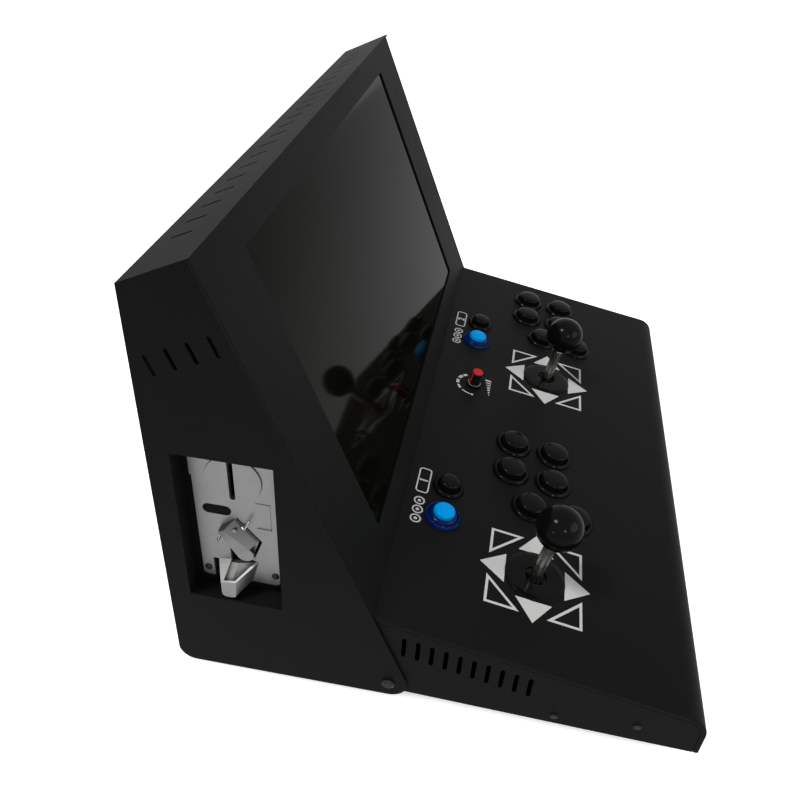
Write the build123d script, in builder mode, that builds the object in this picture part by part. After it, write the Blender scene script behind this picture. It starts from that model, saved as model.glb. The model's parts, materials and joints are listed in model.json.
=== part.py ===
from build123d import *
import os
from math import cos, radians, sin, tan

# Two-player tabletop arcade cabinet in folded sheet steel. A wedge-shaped control box stands on
# four rubber feet. The screen housing straddles its rear end and is hung on two pivot bolts, on
# which it tips forward for service. Millimetres and degrees, +Z up, the players at -Y, the coin
# side at -X, and the origin on the ground in the middle of the footprint.

os.makedirs("parts", exist_ok=True)

# ---------------------------------------------------------------- whole cabinet
cabinet_width = 540.0
sheet = 1.5  # thickness of every folded steel panel
foot_height = 14.0
slide_gap = 0.3  # clearance round whatever moves
seam = 0.4  # visible joint line between two panels

# ---------------------------------------------------------------- pivot of the housing
pivot_y = 24.1
pivot_rise = 9.2  # above the underside of the control box
ear_radius = 13.5  # rounded heel of the housing side, struck about the pivot
pivot_gap = 0.7  # between a housing side and the box side, taken up by a washer
pivot_bolt_radius = 2.5
pivot_clearance = 0.08
bolt_play = 0.1  # end float of a pivot bolt
pivot_head_radius = 4.7
pivot_edge_height = 1.1
pivot_crown_radius = 2.8
pivot_head_height = 2.7
bolt_tail = 2.0  # thread that stands out of the nut
washer_radius = 6.0
nut_height = 4.0
nut_radius = 4.6  # across corners

# ---------------------------------------------------------------- outline of the screen housing
front_lean = 23.3
front_length = 368.0
top_slope = 25.8
top_depth = 47.9
base_slope = 2.6
base_length = 182.1
base_corner_radius = 12.5
top_overhang = 1.6
side_flange = 12.0
base_plate_depth = 118.0

# ---------------------------------------------------------------- control box
box_front_y = -196.6
box_front_height = 34.75  # to the sharp corner before it is bent round
box_bend_radius = 18.0
panel_slope = 9.87
panel_tuck = 4.0  # how far the deck runs on behind the screen fascia
lip_height = 4.0  # turned-down edge of the deck along its two sides
lip_round = 1.1
fascia_gap = 1.1  # under the fascia's lower edge

side_slot_count = 10
side_slot_pitch = 10.15
side_slot_setback = 22.7  # from the fascia to the first slot, along the deck
side_slot_drop = 22.0  # from the deck to the middle of a slot
side_slot_length = 20.2
side_slot_width = 3.2
harness_hole_width = 70.0
harness_hole_height = 26.0
harness_hole_corner = 4.0
harness_hole_rise = 36.0  # middle of the hole above the underside of the box

foot_inset = 30.0
foot_rear_y = 3.0
foot_top_radius = 14.0
foot_bottom_radius = 12.0
foot_screw_recess = 5.0
foot_recess_depth = 8.0
screw_head_radius = 2.6
screw_edge_height = 0.7
screw_crown_radius = 1.6
screw_head_height = 1.4
side_screw_places = ((101.2, 8.2), (45.2, 15.8))  # back from the front edge, up from the underside

# ---------------------------------------------------------------- deck layout, one set per player
stick_offset = 53.2  # a joystick stands this far left of the middle of its player's half
stick_station = 127.4  # from the sharp front corner, up the deck
button_column_offset = 72.0
button_column_pitch = 37.5
button_row_pitch = 37.6
outer_rows_station = 154.2
inner_row_station = 135.0
start_x = 67.1
coin_button_x = 32.4
start_station = 205.2
volume_x = 33.0
volume_station = 200.0

# ---------------------------------------------------------------- push buttons
rim_height = 3.2  # above the deck
rim_edge_height = 1.2
rim_shoulder = 1.8
barrel_wall = 2.5
barrel_depth = 22.0
barrel_floor = 2.0
plunger_rise = 5.8  # crown above the deck at rest
plunger_depth = 12.0
plunger_dish = 0.7
plunger_chamfer = 0.9
stem_radius = 3.4
button_travel = 2.5
large_rim_radius = 16.4
large_barrel_radius = 14.6
small_rim_radius = 13.4
small_barrel_radius = 11.7
button_hole_clearance = 0.25
button_nut_height = 5.0
button_nut_rim = 3.2
switch_length = 20.0
switch_width = 6.6
switch_height = 10.4
switch_arm = 4.6
stem_reach = 1.6  # how far a stem stands out of its barrel
switch_slack = 0.5  # left between a stem and its switch when the button is down
thread_gap = 0.1

# ---------------------------------------------------------------- joysticks
ball_radius = 17.5
ball_height = 55.6  # centre above the deck
stick_radius = 4.75
stick_pivot_depth = 11.0
stick_tail = 42.0
stick_chamfer = 1.0
mount_plate_length = 96.0
mount_plate_width = 64.0
mount_plate = 1.6
mount_plate_corner = 6.0
mount_hole_radius = 12.0
case_width = 60.0
case_wall = 3.0
case_depth = 36.0
gate_plate = 2.5
gate_opening = 25.0
lug_gap = 31.0  # between the two lugs that carry the gimbal
lug_thickness = 4.0
lug_width = 11.0
gimbal_length = 27.0
gimbal_width = 30.0
gimbal_height = 7.0
gimbal_wall = 4.0
gimbal_pin_radius = 2.0
gimbal_clearance = 0.08
actuator_radius = 6.9
actuator_top = 22.0
actuator_bottom = 39.5
actuator_chamfer = 0.6
stick_switch_top = 23.0
ball_flat = 0.7
ball_bore_depth = 8.0
dust_washer_radius = 25.8
dust_washer_height = 1.8
dust_washer_edge = 0.8
dust_washer_slope = 4.0
dust_washer_hole = 8.6

# ---------------------------------------------------------------- volume control
volume_shaft_radius = 3.0
volume_body_radius = 8.5
volume_body_depth = 9.0
volume_bush_radius = 3.6
volume_nut_radius = 5.2
volume_nut_height = 2.0
knob_roof = 2.5
knob_skirt_radius = 7.6
knob_skirt_height = 3.2
knob_cap_radius = 5.6
knob_top_radius = 5.1
knob_height = 17.5
knob_round = 0.6
knob_lift = 0.5
knob_flutes = 10
knob_flute_radius = 0.7

# ---------------------------------------------------------------- main board in the control box
board_length = 150.0
board_depth = 60.0
board_thickness = 1.6
board_x = -5.0
board_stand_height = 6.0
board_stand_radius = 3.0
board_stand_inset = 5.0
board_rear_gap = 6.0
processor_x = -30.0  # from the middle of the board
processor_size = 30.0
processor_height = 8.0
memory_x = (20.0, 50.0)
memory_y = 5.0
memory_length = 18.0
memory_width = 14.0
memory_height = 1.5
plug_count = 6
plug_pitch = 22.0
plug_length = 18.0
plug_width = 6.0
plug_height = 7.0
plug_inset = 5.0

# ---------------------------------------------------------------- screen
aperture_width = 412.0
aperture_height = 232.0
aperture_base = 112.5  # from the heel corner, up the fascia
aperture_corner = 3.0
fascia_flange = 6.5
fascia_bend = 2.0
glass_margin = 11.0
glass_thickness = 3.0
lcd_margin = 12.0
lcd_thickness = 12.0
rail_width = 20.0
rail_depth = 8.0
rail_rise = 37.5  # middle of the lower rail above the lower edge of the aperture
rail_pitch = 112.0

# ---------------------------------------------------------------- vents and speakers
top_slot_count = 20
top_slot_pitch = 23.26
top_slot_length = 15.6
top_slot_width = 2.2
top_slot_station = 26.4  # from the front edge of the cover to the middle of the slots
side_vent_count = 4
side_vent_pitch = 15.1
side_vent_setback = 12.8
side_vent_drop = 53.1
side_vent_length = 15.4
side_vent_width = 2.7
speaker_radius = 26.0
speaker_depth = 24.0
speaker_flange = 2.5
speaker_magnet_radius = 17.0
speaker_cone_radius = 22.5

# ---------------------------------------------------------------- coin mechanism, on the left side
coin_setback = 50.4  # middle of the cut-out from the back edge
coin_rise = 142.0  # middle of the cut-out above the bottom rear corner
cutout_width = 68.4
cutout_height = 130.6
cutout_corner = 1.0
plate_recess = 14.5
plate_width = 57.0
plate_height = 122.0
plate_lift = 3.0  # middle of the plate above the middle of the cut-out
plate_thickness = 3.0
plate_corner = 3.5
plate_ear_width = 1.2
plate_ear_height = 24.0
boss_radius = 19.8
boss_rise = 1.0
boss_taper = 20.0
boss_x = 0.8
boss_y = 38.0
coin_slot_width = 4.0
coin_slot_x = -0.5
coin_slot_bottom = 20.5
coin_slot_top = 58.5
notch_x = -17.8
notch_width = 4.2
notch_height = 18.0
emblem_x = 19.8
emblem_y = 8.1
emblem_width = 10.0
emblem_height = 23.2
emblem_rise = 0.4
ledge_height = 1.6
ledge_rise = 1.2
hook_x = -13.6
hook_y = -18.4
hook_length = 6.5
hook_width = 1.8
hook_slant = 62.0
hook_depth = 1.0
cup_reach = 13.0
cup_wall = 1.2
cup_base_round = 2.0
cup_nose_round = 3.5
cup_base = ((-15.8, -39.6), (-6.0, -38.6), (13.6, -37.6), (8.2, -57.5), (-15.8, -57.5))
cup_nose = ((-10.5, -49.2), (-8.1, -49.0), (0.5, -47.3), (0.0, -63.3), (-10.4, -63.6))
trough_base = ((-6.4, -27.2), (12.4, -37.4), (-1.4, -41.6), (-6.5, -41.6))
trough_nose = ((-8.8, -45.0), (0.6, -45.5), (-4.6, -55.0), (-8.6, -55.0))
return_hole_x = -1.0
return_hole_y = -40.0
return_hole_width = 18.0
return_hole_height = 18.0
lever_x = 5.0
lever_y = -12.0
lever_slant = -50.0
lever_tail = 14.5  # from the middle of the lever to its pivoted end
lever_nose = 9.5
lever_crest = 4.2  # upper edge of the lever beside its centre line
lever_ridge = -2.7
lever_lift = 0.6
lever_tail_height = 8.0
lever_tail_shelf = 5.2
lever_tail_hem = -9.8
lever_nose_height = 5.0
lever_nose_shelf = 4.0
lever_nose_hem = -15.2
tongue_x = 12.0
tongue_y = -9.2
tongue_radius = 6.2
tongue_height = 4.0
lever_pin_reach = 9.0
lever_pin_offset = 1.0
lever_pin_radius = 1.5
lever_gap = 0.9
lever_slot_width = 1.8
lever_slot_end = (20.5, -9.1)
lever_tie = 6.8
lever_tie_width = 2.0
lever_tie_rise = 1.2
mech_width = 46.0
mech_height = 112.0
mech_gap = 1.0
mech_depth = 44.0
channel_depth = 30.0
chute_depth = 14.0
bracket_clearance = 1.0
bracket_margin = 3.0
coin_box_length = 92.0
coin_box_depth = 58.0
coin_box_height = 52.0
coin_box_wall = 1.2
coin_box_side_gap = 13.5
coin_box_rear_gap = 16.0
plate_screw_places = ((-24.4, -50.5), (25.4, -48.7))

# ---------------------------------------------------------------- rear of the housing
door_width = 230.0
door_height = 170.0
door_x = -10.0
door_rise = 58.0  # lower edge of the opening above the bottom rear corner
door_gap = 0.5
door_corner = 4.0
hinge_knuckle_radius = 3.0
hinge_pin_radius = 1.3
hinge_clearance = 0.09
hinge_inset = 28.0
hinge_leaf = 13.0
knuckle_length = 30.0
lock_radius = 8.0
lock_flange_radius = 9.5
lock_flange = 1.5
lock_length = 6.0
cam_length = 34.0
cam_width = 9.0
cam_thickness = 2.0
lock_inset = 20.0
key_slot_length = 8.0
key_slot_width = 1.6
inlet_inset = 55.0  # middle of the inlet from the side of the cabinet
inlet_rise = 55.0
inlet_width = 47.0
inlet_height = 58.0
inlet_flange = 2.0
inlet_corner = 2.0
inlet_lap = 6.0
socket_rise = 16.0
inlet_depth = 24.0
inlet_socket_width = 24.0
inlet_socket_height = 16.5
inlet_socket_depth = 16.0
inlet_blade_places = ((-7.0, -1.5), (7.0, -1.5), (0.0, 2.5))
inlet_blade_width = 2.0
inlet_blade_height = 4.0
inlet_blade_length = 12.0
rocker_width = 19.0
rocker_height = 12.0
rocker_tilt = 8.0
rocker_drop = 15.0
rocker_room = 0.9
rocker_well = 14.0
rocker_axis_depth = 3.0
rocker_crest = 1.2
rocker_keel = 5.0
rocker_keel_half = 4.5
rocker_dip = 0.6
rocker_pin_radius = 1.2
rocker_pin_length = 1.0
rear_slot_count = 12
rear_slot_pitch = 14.0
rear_slot_length = 22.0
rear_slot_width = 3.0
rear_slot_drop = 44.0
rear_vent_inset = 118.5  # middle of a group of slots from the side of the housing
supply_length = 130.0
supply_depth = 50.0
supply_height = 82.0
supply_gap = 26.5  # between the inlet and the supply
supply_rear_gap = 4.0
supply_wall = 1.2
supply_slot_count = 8
supply_slot_pitch = 12.0
supply_slot_length = 30.0
supply_slot_width = 3.0
rear_screw_count = 3
rear_screw_low = 45.0
rear_screw_high = 35.0  # below the top of the back
pad_radius = 10.0
pad_inset = 24.0
pad_setback = 22.1  # from the bottom rear corner

# ================================================================ reference geometry


def lean(angle):
    """Unit vector that goes up and leans back by angle."""
    return Vector(0, sin(radians(angle)), cos(radians(angle)))


def fall(angle):
    """Unit vector that goes back and falls by angle."""
    return Vector(0, cos(radians(angle)), -sin(radians(angle)))


def crossing(start, along, other_start, other_along):
    """Where two lines in the YZ plane meet."""
    gap = other_start - start
    turn = along.Y * other_along.Z - along.Z * other_along.Y
    reach = (gap.Y * other_along.Z - gap.Z * other_along.Y) / turn
    return start + along * reach


def flat(*points):
    """Points of the YZ plane as sketch coordinates of Plane.YZ."""
    return [(point.Y, point.Z) for point in points]


across = Vector(1, 0, 0)
half_width = cabinet_width / 2
inner_half = half_width - sheet
pivot = Vector(0, pivot_y, foot_height + pivot_rise)

front_up, front_in = lean(front_lean), fall(front_lean)
top_back, top_out = fall(top_slope), lean(top_slope)
base_back, base_up = fall(base_slope), lean(base_slope)
heel_angle = 90 - front_lean + base_slope
heel_reach = ear_radius / tan(radians(heel_angle / 2))
heel = pivot - base_back * heel_reach - base_up * ear_radius
brow = heel + front_up * front_length
crown = brow + top_back * top_depth
tail = heel + base_back * base_length
back_up = (crown - tail).normalized()
back_out = Vector(0, back_up.Z, -back_up.Y)

box_width = cabinet_width - 2 * (sheet + pivot_gap)
box_half = box_width / 2
deck_back = fall(-panel_slope)
deck_out = lean(-panel_slope)
box_toe = Vector(0, box_front_y, foot_height)
deck_front = box_toe + Vector(0, 0, box_front_height)
deck_meets_fascia = crossing(deck_front, deck_back, heel, front_up)
deck_reach = (deck_meets_fascia - deck_front).length
deck_end = deck_front + deck_back * (deck_reach + panel_tuck)

deck = Plane(origin=deck_front, x_dir=across, z_dir=deck_out)
fascia = Plane(origin=heel, x_dir=across, z_dir=front_in * -1)
cover = Plane(origin=brow, x_dir=across, z_dir=top_out)
rear = Plane(origin=tail, x_dir=across * -1, z_dir=back_out)
coin_centre = tail + back_up * coin_rise - back_out * coin_setback - across * half_width
coin_side = Plane(origin=coin_centre, x_dir=back_out * -1, z_dir=across * -1)

players = [side * box_width / 4 - stick_offset for side in (-1, 1)]


def station(plane, x, y, height=0.0):
    """A plane parallel to the given one, with its origin at a place on it."""
    return Plane(
        origin=plane.from_local_coords(Vector(x, y, height)),
        x_dir=plane.x_dir,
        z_dir=plane.z_dir,
    )


def upright(place):
    """The section plane that holds a station's normal as its own upward direction."""
    return Plane(origin=place.origin, x_dir=place.x_dir, z_dir=place.y_dir * -1)


def axis_of(place):
    return Axis(place.origin, place.z_dir)


def screw_head(place):
    """Low pan head that lies on a station."""
    turned(
        place,
        (0, 0),
        (screw_head_radius, 0),
        (screw_head_radius, screw_edge_height),
        (screw_crown_radius, screw_head_height),
        (0, screw_head_height),
    )


def save(piece, name):
    piece.part.label = name
    export_step(piece.part, f"parts/{name}.step")


def turned(place, *outline):
    """Revolve a half section, given as radius and height, about a station's normal."""
    with BuildSketch(upright(place)) as section:
        with BuildLine():
            Polyline(*outline, close=True)
        make_face()
    revolve(section.sketch, axis=axis_of(place))


# ---------------------------------------------------------------- where the buttons stand
action_stations = []
for player_x in players:
    inner_x = player_x + button_column_offset
    column_places = [(inner_x, inner_row_station)]
    for column in (1, 2):
        column_places.append((inner_x + column * button_column_pitch, outer_rows_station))
    for column_x, rear_row in column_places:
        action_stations.append(station(deck, column_x, rear_row))
        action_stations.append(station(deck, column_x, rear_row - button_row_pitch))
start_stations = [station(deck, x + start_x, start_station) for x in players]
coin_button_stations = [station(deck, x + coin_button_x, start_station) for x in players]
large_stations = action_stations + coin_button_stations
stick_stations = [station(deck, x, stick_station) for x in players]
volume_place = station(deck, volume_x, volume_station)

# ================================================================ control box
control_box_rear_y = deck_end.Y
wall_inset = lip_height + seam
under_deck = deck_front - deck_out * sheet
shell_line = deck_front - deck_out * wall_inset
wall_front_y = box_front_y + wall_inset


def deck_height(y, start):
    """The point at depth y on the line that starts somewhere and runs parallel to the deck."""
    return crossing(Vector(0, y, 0), Vector(0, 0, 1), start, deck_back)


def slab(x_low, x_high, *points, mode=Mode.ADD):
    """Flat piece: an outline of the YZ plane, made solid between two values of X."""
    with BuildSketch(Plane.YZ.offset(x_low)) as section:
        with BuildLine():
            Polyline(*flat(*points), close=True)
        make_face()
    extrude(section.sketch, amount=x_high - x_low, mode=mode)


with BuildPart() as control_box_shell:
    for side_x in (-box_half, box_half - sheet):
        with BuildSketch(Plane.YZ.offset(side_x)):
            front_top = deck_height(wall_front_y, shell_line)
            rear_top = deck_height(control_box_rear_y, shell_line)
            with BuildLine():
                Polyline(
                    (wall_front_y, foot_height),
                    (front_top.Y, front_top.Z),
                    (rear_top.Y, rear_top.Z),
                    (control_box_rear_y, foot_height),
                    close=True,
                )
            make_face()
            fillet(vertices().sort_by(Axis.X)[:2].sort_by(Axis.Y)[-1], box_bend_radius - wall_inset)
            for index in range(side_slot_count):
                back = side_slot_setback + index * side_slot_pitch
                place = deck_meets_fascia - deck_back * back
                with Locations((place.Y, place.Z - side_slot_drop)):
                    SlotOverall(side_slot_length, side_slot_width, rotation=90, mode=Mode.SUBTRACT)
            with Locations((pivot.Y, pivot.Z)):
                Circle(pivot_bolt_radius + pivot_clearance, mode=Mode.SUBTRACT)
        extrude(amount=sheet)
    floor_front = box_front_y + sheet
    with BuildSketch(Plane.XY.offset(foot_height)):
        with Locations((0, (floor_front + control_box_rear_y) / 2)):
            Rectangle(box_width - 2 * (sheet + seam), control_box_rear_y - floor_front)
        with Locations((0, (wall_front_y + control_box_rear_y) / 2)):
            Rectangle(box_width, control_box_rear_y - wall_front_y)
    extrude(amount=sheet)
    rear_face = Vector(0, control_box_rear_y, foot_height)
    rear_inside = rear_face - Vector(0, sheet, 0)
    slab(
        -box_half + sheet + seam,
        box_half - sheet - seam,
        rear_inside,
        deck_height(rear_inside.Y, under_deck),
        deck_height(rear_face.Y, under_deck),
        rear_face,
    )
    slab(
        -box_half,
        box_half,
        rear_inside,
        deck_height(rear_inside.Y, shell_line),
        deck_height(rear_face.Y, shell_line),
        rear_face,
    )
    with BuildSketch(Plane.XZ.offset(-control_box_rear_y)):
        with Locations((0, foot_height + harness_hole_rise)):
            RectangleRounded(harness_hole_width, harness_hole_height, harness_hole_corner)
    extrude(amount=2 * sheet, mode=Mode.SUBTRACT)
save(control_box_shell, "control_box_shell")


def deck_band(x_low, x_high, depth):
    """Strip that follows the deck: up the front, round the bend and back to the rear edge."""
    with BuildSketch(Plane.YZ.offset(x_low)) as section:
        with BuildLine():
            FilletPolyline(*flat(box_toe, deck_front, deck_end), radius=box_bend_radius)
            offset(amount=depth, side=Side.RIGHT)
        make_face()
    extrude(section.sketch, amount=x_high - x_low)


with BuildPart() as control_panel:
    deck_band(-box_half, box_half, sheet)
    deck_band(-box_half, -box_half + sheet, lip_height)
    deck_band(box_half - sheet, box_half, lip_height)
    with BuildSketch(deck):
        for place in large_stations:
            with Locations(deck.to_local_coords(place.origin)):
                Circle(large_barrel_radius + button_hole_clearance)
        for place in start_stations:
            with Locations(deck.to_local_coords(place.origin)):
                Circle(small_barrel_radius + button_hole_clearance)
        for place in stick_stations:
            with Locations(deck.to_local_coords(place.origin)):
                Circle(mount_hole_radius)
        with Locations((volume_x, volume_station)):
            Circle(volume_bush_radius)
    extrude(amount=-2 * sheet, mode=Mode.SUBTRACT)
    outer_line = [
        edge
        for face in (faces().sort_by(Axis.X)[0], faces().sort_by(Axis.X)[-1])
        for edge in face.edges()
        if (edge @ 0.5).Y < box_front_y + sheet / 2 or deck.to_local_coords(edge @ 0.5).Z > -sheet / 2
    ]
    fillet(outer_line, lip_round)
save(control_panel, "control_panel")

foot_places = [
    (side * (box_half - foot_inset), y)
    for side in (-1, 1)
    for y in (box_front_y + foot_inset, foot_rear_y)
]
with BuildPart() as box_feet:
    for x, y in foot_places:
        turned(
            Plane(origin=(x, y, 0)),
            (foot_screw_recess, 0),
            (foot_bottom_radius, 0),
            (foot_top_radius, foot_height),
            (0, foot_height),
            (0, foot_recess_depth),
            (foot_screw_recess, foot_recess_depth),
        )
save(box_feet, "box_feet")

with BuildPart() as box_screws:
    for side in (-1, 1):
        for back, rise in side_screw_places:
            head = Plane(
                origin=(side * box_half, box_front_y + back, foot_height + rise),
                x_dir=(0, 1, 0),
                z_dir=(side, 0, 0),
            )
            screw_head(head)
save(box_screws, "box_screws")

# Each pivot bolt runs through the housing side, the washer and the box side into its nut.
with BuildPart() as hinge_bolts:
    for side in (-1, 1):
        outward = Plane(origin=(0, pivot.Y, pivot.Z), x_dir=(0, 1, 0), z_dir=(side, 0, 0))
        head_seat = half_width + bolt_play
        nut_seat = box_half - sheet
        turned(
            outward,
            (0, nut_seat - nut_height - bolt_tail),
            (pivot_bolt_radius, nut_seat - nut_height - bolt_tail),
            (pivot_bolt_radius, head_seat),
            (pivot_head_radius, head_seat),
            (pivot_head_radius, head_seat + pivot_edge_height),
            (pivot_crown_radius, head_seat + pivot_head_height),
            (0, head_seat + pivot_head_height),
        )
        turned(
            outward,
            (pivot_bolt_radius, box_half),
            (washer_radius, box_half),
            (washer_radius, box_half + pivot_gap - bolt_play),
            (pivot_bolt_radius, box_half + pivot_gap - bolt_play),
        )
        with BuildSketch(outward.offset(nut_seat - nut_height)):
            RegularPolygon(nut_radius, 6)
            Circle(pivot_bolt_radius, mode=Mode.SUBTRACT)
        extrude(amount=nut_height)
save(hinge_bolts, "hinge_bolts")

# ================================================================ joysticks
plate_top = -sheet
plate_bottom = plate_top - mount_plate
lug_half = lug_gap / 2
with BuildPart() as joystick_bases:
    for place in stick_stations:
        with BuildSketch(place.offset(plate_bottom)):
            RectangleRounded(mount_plate_width, mount_plate_length, mount_plate_corner)
            Circle(mount_hole_radius, mode=Mode.SUBTRACT)
        extrude(amount=mount_plate)
        with BuildSketch(place.offset(-case_depth)):
            RectangleRounded(case_width, case_width, case_wall)
            Rectangle(case_width - 2 * case_wall, case_width - 2 * case_wall, mode=Mode.SUBTRACT)
        extrude(amount=case_depth + plate_bottom)
        with BuildSketch(place.offset(-case_depth - gate_plate)):
            RectangleRounded(case_width, case_width, case_wall)
            Rectangle(gate_opening, gate_opening, mode=Mode.SUBTRACT)
        extrude(amount=gate_plate)
        for side in (-1, 1):
            with BuildSketch(place.offset(plate_bottom)):
                with Locations((side * (lug_half + lug_thickness / 2), 0)):
                    Rectangle(lug_thickness, lug_width)
            extrude(amount=-(stick_pivot_depth + lug_width / 2 + plate_bottom))
        trunnions = Plane(
            origin=place.from_local_coords(Vector(0, 0, -stick_pivot_depth)),
            x_dir=place.y_dir,
            z_dir=place.x_dir,
        )
        with BuildSketch(trunnions.offset(-lug_half - lug_thickness)):
            Circle(gimbal_pin_radius + gimbal_clearance)
        extrude(amount=lug_gap + 2 * lug_thickness, mode=Mode.SUBTRACT)
save(joystick_bases, "joystick_bases")

with BuildPart() as dust_washers:
    for place in stick_stations:
        turned(
            place,
            (dust_washer_hole, 0),
            (dust_washer_radius, 0),
            (dust_washer_radius, dust_washer_edge),
            (dust_washer_radius - dust_washer_slope, dust_washer_height),
            (dust_washer_hole, dust_washer_height),
        )
save(dust_washers, "dust_washers")

for number, place in enumerate(stick_stations, start=1):
    knee = station(place, 0, 0, -stick_pivot_depth)
    along_x = Plane(origin=knee.origin, x_dir=knee.y_dir, z_dir=knee.x_dir)
    along_y = Plane(origin=knee.origin, x_dir=knee.x_dir, z_dir=knee.y_dir)

    with BuildPart() as gimbal:
        with BuildSketch(knee.offset(-gimbal_height / 2)):
            RectangleRounded(gimbal_length, gimbal_width, gimbal_wall)
            Rectangle(
                gimbal_length - 2 * gimbal_wall,
                gimbal_width - 2 * gimbal_wall,
                mode=Mode.SUBTRACT,
            )
        extrude(amount=gimbal_height)
        for side in (-1, 1):
            with BuildSketch(along_x.offset(side * (gimbal_length / 2 - gimbal_wall / 2))):
                Circle(gimbal_pin_radius)
            extrude(amount=side * (lug_half + lug_thickness - gimbal_length / 2 + gimbal_wall / 2))
        with BuildSketch(along_y.offset(-gimbal_width / 2)):
            Circle(gimbal_pin_radius + gimbal_clearance)
        extrude(amount=gimbal_width, mode=Mode.SUBTRACT)
    save(gimbal, f"joystick_{number}_gimbal")

    with BuildPart() as shaft:
        turned(
            place,
            (0, -stick_tail),
            (stick_radius - stick_chamfer, -stick_tail),
            (stick_radius, -stick_tail + stick_chamfer),
            (stick_radius, ball_height - ball_bore_depth),
            (0, ball_height - ball_bore_depth),
        )
        with BuildSketch(along_y.offset(-gimbal_width / 2)):
            Circle(gimbal_pin_radius)
        extrude(amount=gimbal_width)
    save(shaft, f"joystick_{number}_shaft")

    with BuildPart() as actuator:
        turned(
            place,
            (stick_radius, -actuator_bottom),
            (actuator_radius - actuator_chamfer, -actuator_bottom),
            (actuator_radius, -actuator_bottom + actuator_chamfer),
            (actuator_radius, -actuator_top),
            (stick_radius, -actuator_top),
        )
    save(actuator, f"joystick_{number}_actuator")

    with BuildPart() as ball:
        centre = station(place, 0, 0, ball_height)
        with BuildSketch(upright(centre)):
            Circle(ball_radius)
            with Locations((-ball_radius, 0)):
                Rectangle(2 * ball_radius, 2 * ball_radius, mode=Mode.SUBTRACT)
            with Locations((0, -ball_radius)):
                Rectangle(2 * ball_radius, 2 * ball_flat, mode=Mode.SUBTRACT)
            with Locations((0, -ball_radius - ball_bore_depth)):
                Rectangle(2 * stick_radius, 2 * ball_radius, mode=Mode.SUBTRACT)
        revolve(axis=axis_of(centre))
    save(ball, f"joystick_{number}_ball")

# ================================================================ push buttons
barrel_bottom = -barrel_depth
stem_end = barrel_bottom - stem_reach
switch_top = stem_end - button_travel - switch_slack


def button_rim(place, rim_radius, barrel_radius):
    """Threaded barrel with a bevelled rim on top and a floor that the stem comes through."""
    bore = barrel_radius - barrel_wall
    turned(
        place,
        (rim_radius, 0),
        (rim_radius, rim_edge_height),
        (rim_radius - rim_shoulder, rim_height),
        (bore, rim_height),
        (bore, barrel_bottom + barrel_floor),
        (stem_radius + slide_gap, barrel_bottom + barrel_floor),
        (stem_radius + slide_gap, barrel_bottom),
        (barrel_radius, barrel_bottom),
        (barrel_radius, 0),
    )


def button_nut(place, barrel_radius):
    """Ring nut that pulls the rim down on the deck from below."""
    turned(
        place,
        (barrel_radius + thread_gap, -sheet),
        (barrel_radius + button_nut_rim, -sheet),
        (barrel_radius + button_nut_rim, -sheet - button_nut_height),
        (barrel_radius + thread_gap, -sheet - button_nut_height),
    )


def button_switch(place):
    """Microswitch that hangs from the barrel by two arms, one each side of the stem."""
    half = switch_length / 2
    with BuildSketch(upright(place)) as section:
        with BuildLine():
            Polyline(
                (-half, barrel_bottom),
                (-half + switch_arm, barrel_bottom),
                (-half + switch_arm, switch_top),
                (half - switch_arm, switch_top),
                (half - switch_arm, barrel_bottom),
                (half, barrel_bottom),
                (half, switch_top - switch_height),
                (-half, switch_top - switch_height),
                close=True,
            )
        make_face()
    extrude(section.sketch, amount=switch_width / 2, both=True)


def plunger(place, barrel_radius):
    """Cap with a dished crown on a stem that reaches the switch."""
    radius = barrel_radius - barrel_wall - slide_gap
    turned(
        place,
        (0, stem_end),
        (stem_radius, stem_end),
        (stem_radius, -plunger_depth),
        (radius, -plunger_depth),
        (radius, plunger_rise - plunger_chamfer),
        (radius - plunger_chamfer, plunger_rise),
        (radius - 2 * plunger_chamfer, plunger_rise),
        (0, plunger_rise - plunger_dish),
    )


with BuildPart() as button_rims:
    for place in action_stations:
        button_rim(place, large_rim_radius, large_barrel_radius)
    for place in start_stations:
        button_rim(place, small_rim_radius, small_barrel_radius)
save(button_rims, "button_rims")

with BuildPart() as blue_button_rims:
    for place in coin_button_stations:
        button_rim(place, large_rim_radius, large_barrel_radius)
save(blue_button_rims, "blue_button_rims")

with BuildPart() as button_nuts:
    for place in large_stations:
        button_nut(place, large_barrel_radius)
    for place in start_stations:
        button_nut(place, small_barrel_radius)
save(button_nuts, "button_nuts")

with BuildPart() as microswitches:
    for place in large_stations + start_stations:
        button_switch(place)
    for place in stick_stations:
        wall = case_width / 2 - case_wall
        for x, y in ((-1, 0), (1, 0), (0, -1), (0, 1)):
            with BuildSketch(place.offset(-stick_switch_top)):
                with Locations((x * (wall - switch_width / 2), y * (wall - switch_width / 2))):
                    if x:
                        Rectangle(switch_width, switch_length)
                    else:
                        Rectangle(switch_length, switch_width)
            extrude(amount=-switch_height)
save(microswitches, "microswitches")

buttons_per_player = len(action_stations) // len(players)
for index, place in enumerate(action_stations):
    player = index // buttons_per_player + 1
    number = index % buttons_per_player + 1
    with BuildPart() as action_button:
        plunger(place, large_barrel_radius)
    save(action_button, f"player_{player}_button_{number}")

for player, place in enumerate(start_stations, start=1):
    with BuildPart() as start_button:
        plunger(place, small_barrel_radius)
    save(start_button, f"start_button_{player}")

for player, place in enumerate(coin_button_stations, start=1):
    with BuildPart() as blue_button:
        plunger(place, large_barrel_radius)
    save(blue_button, f"blue_button_{player}")

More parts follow.
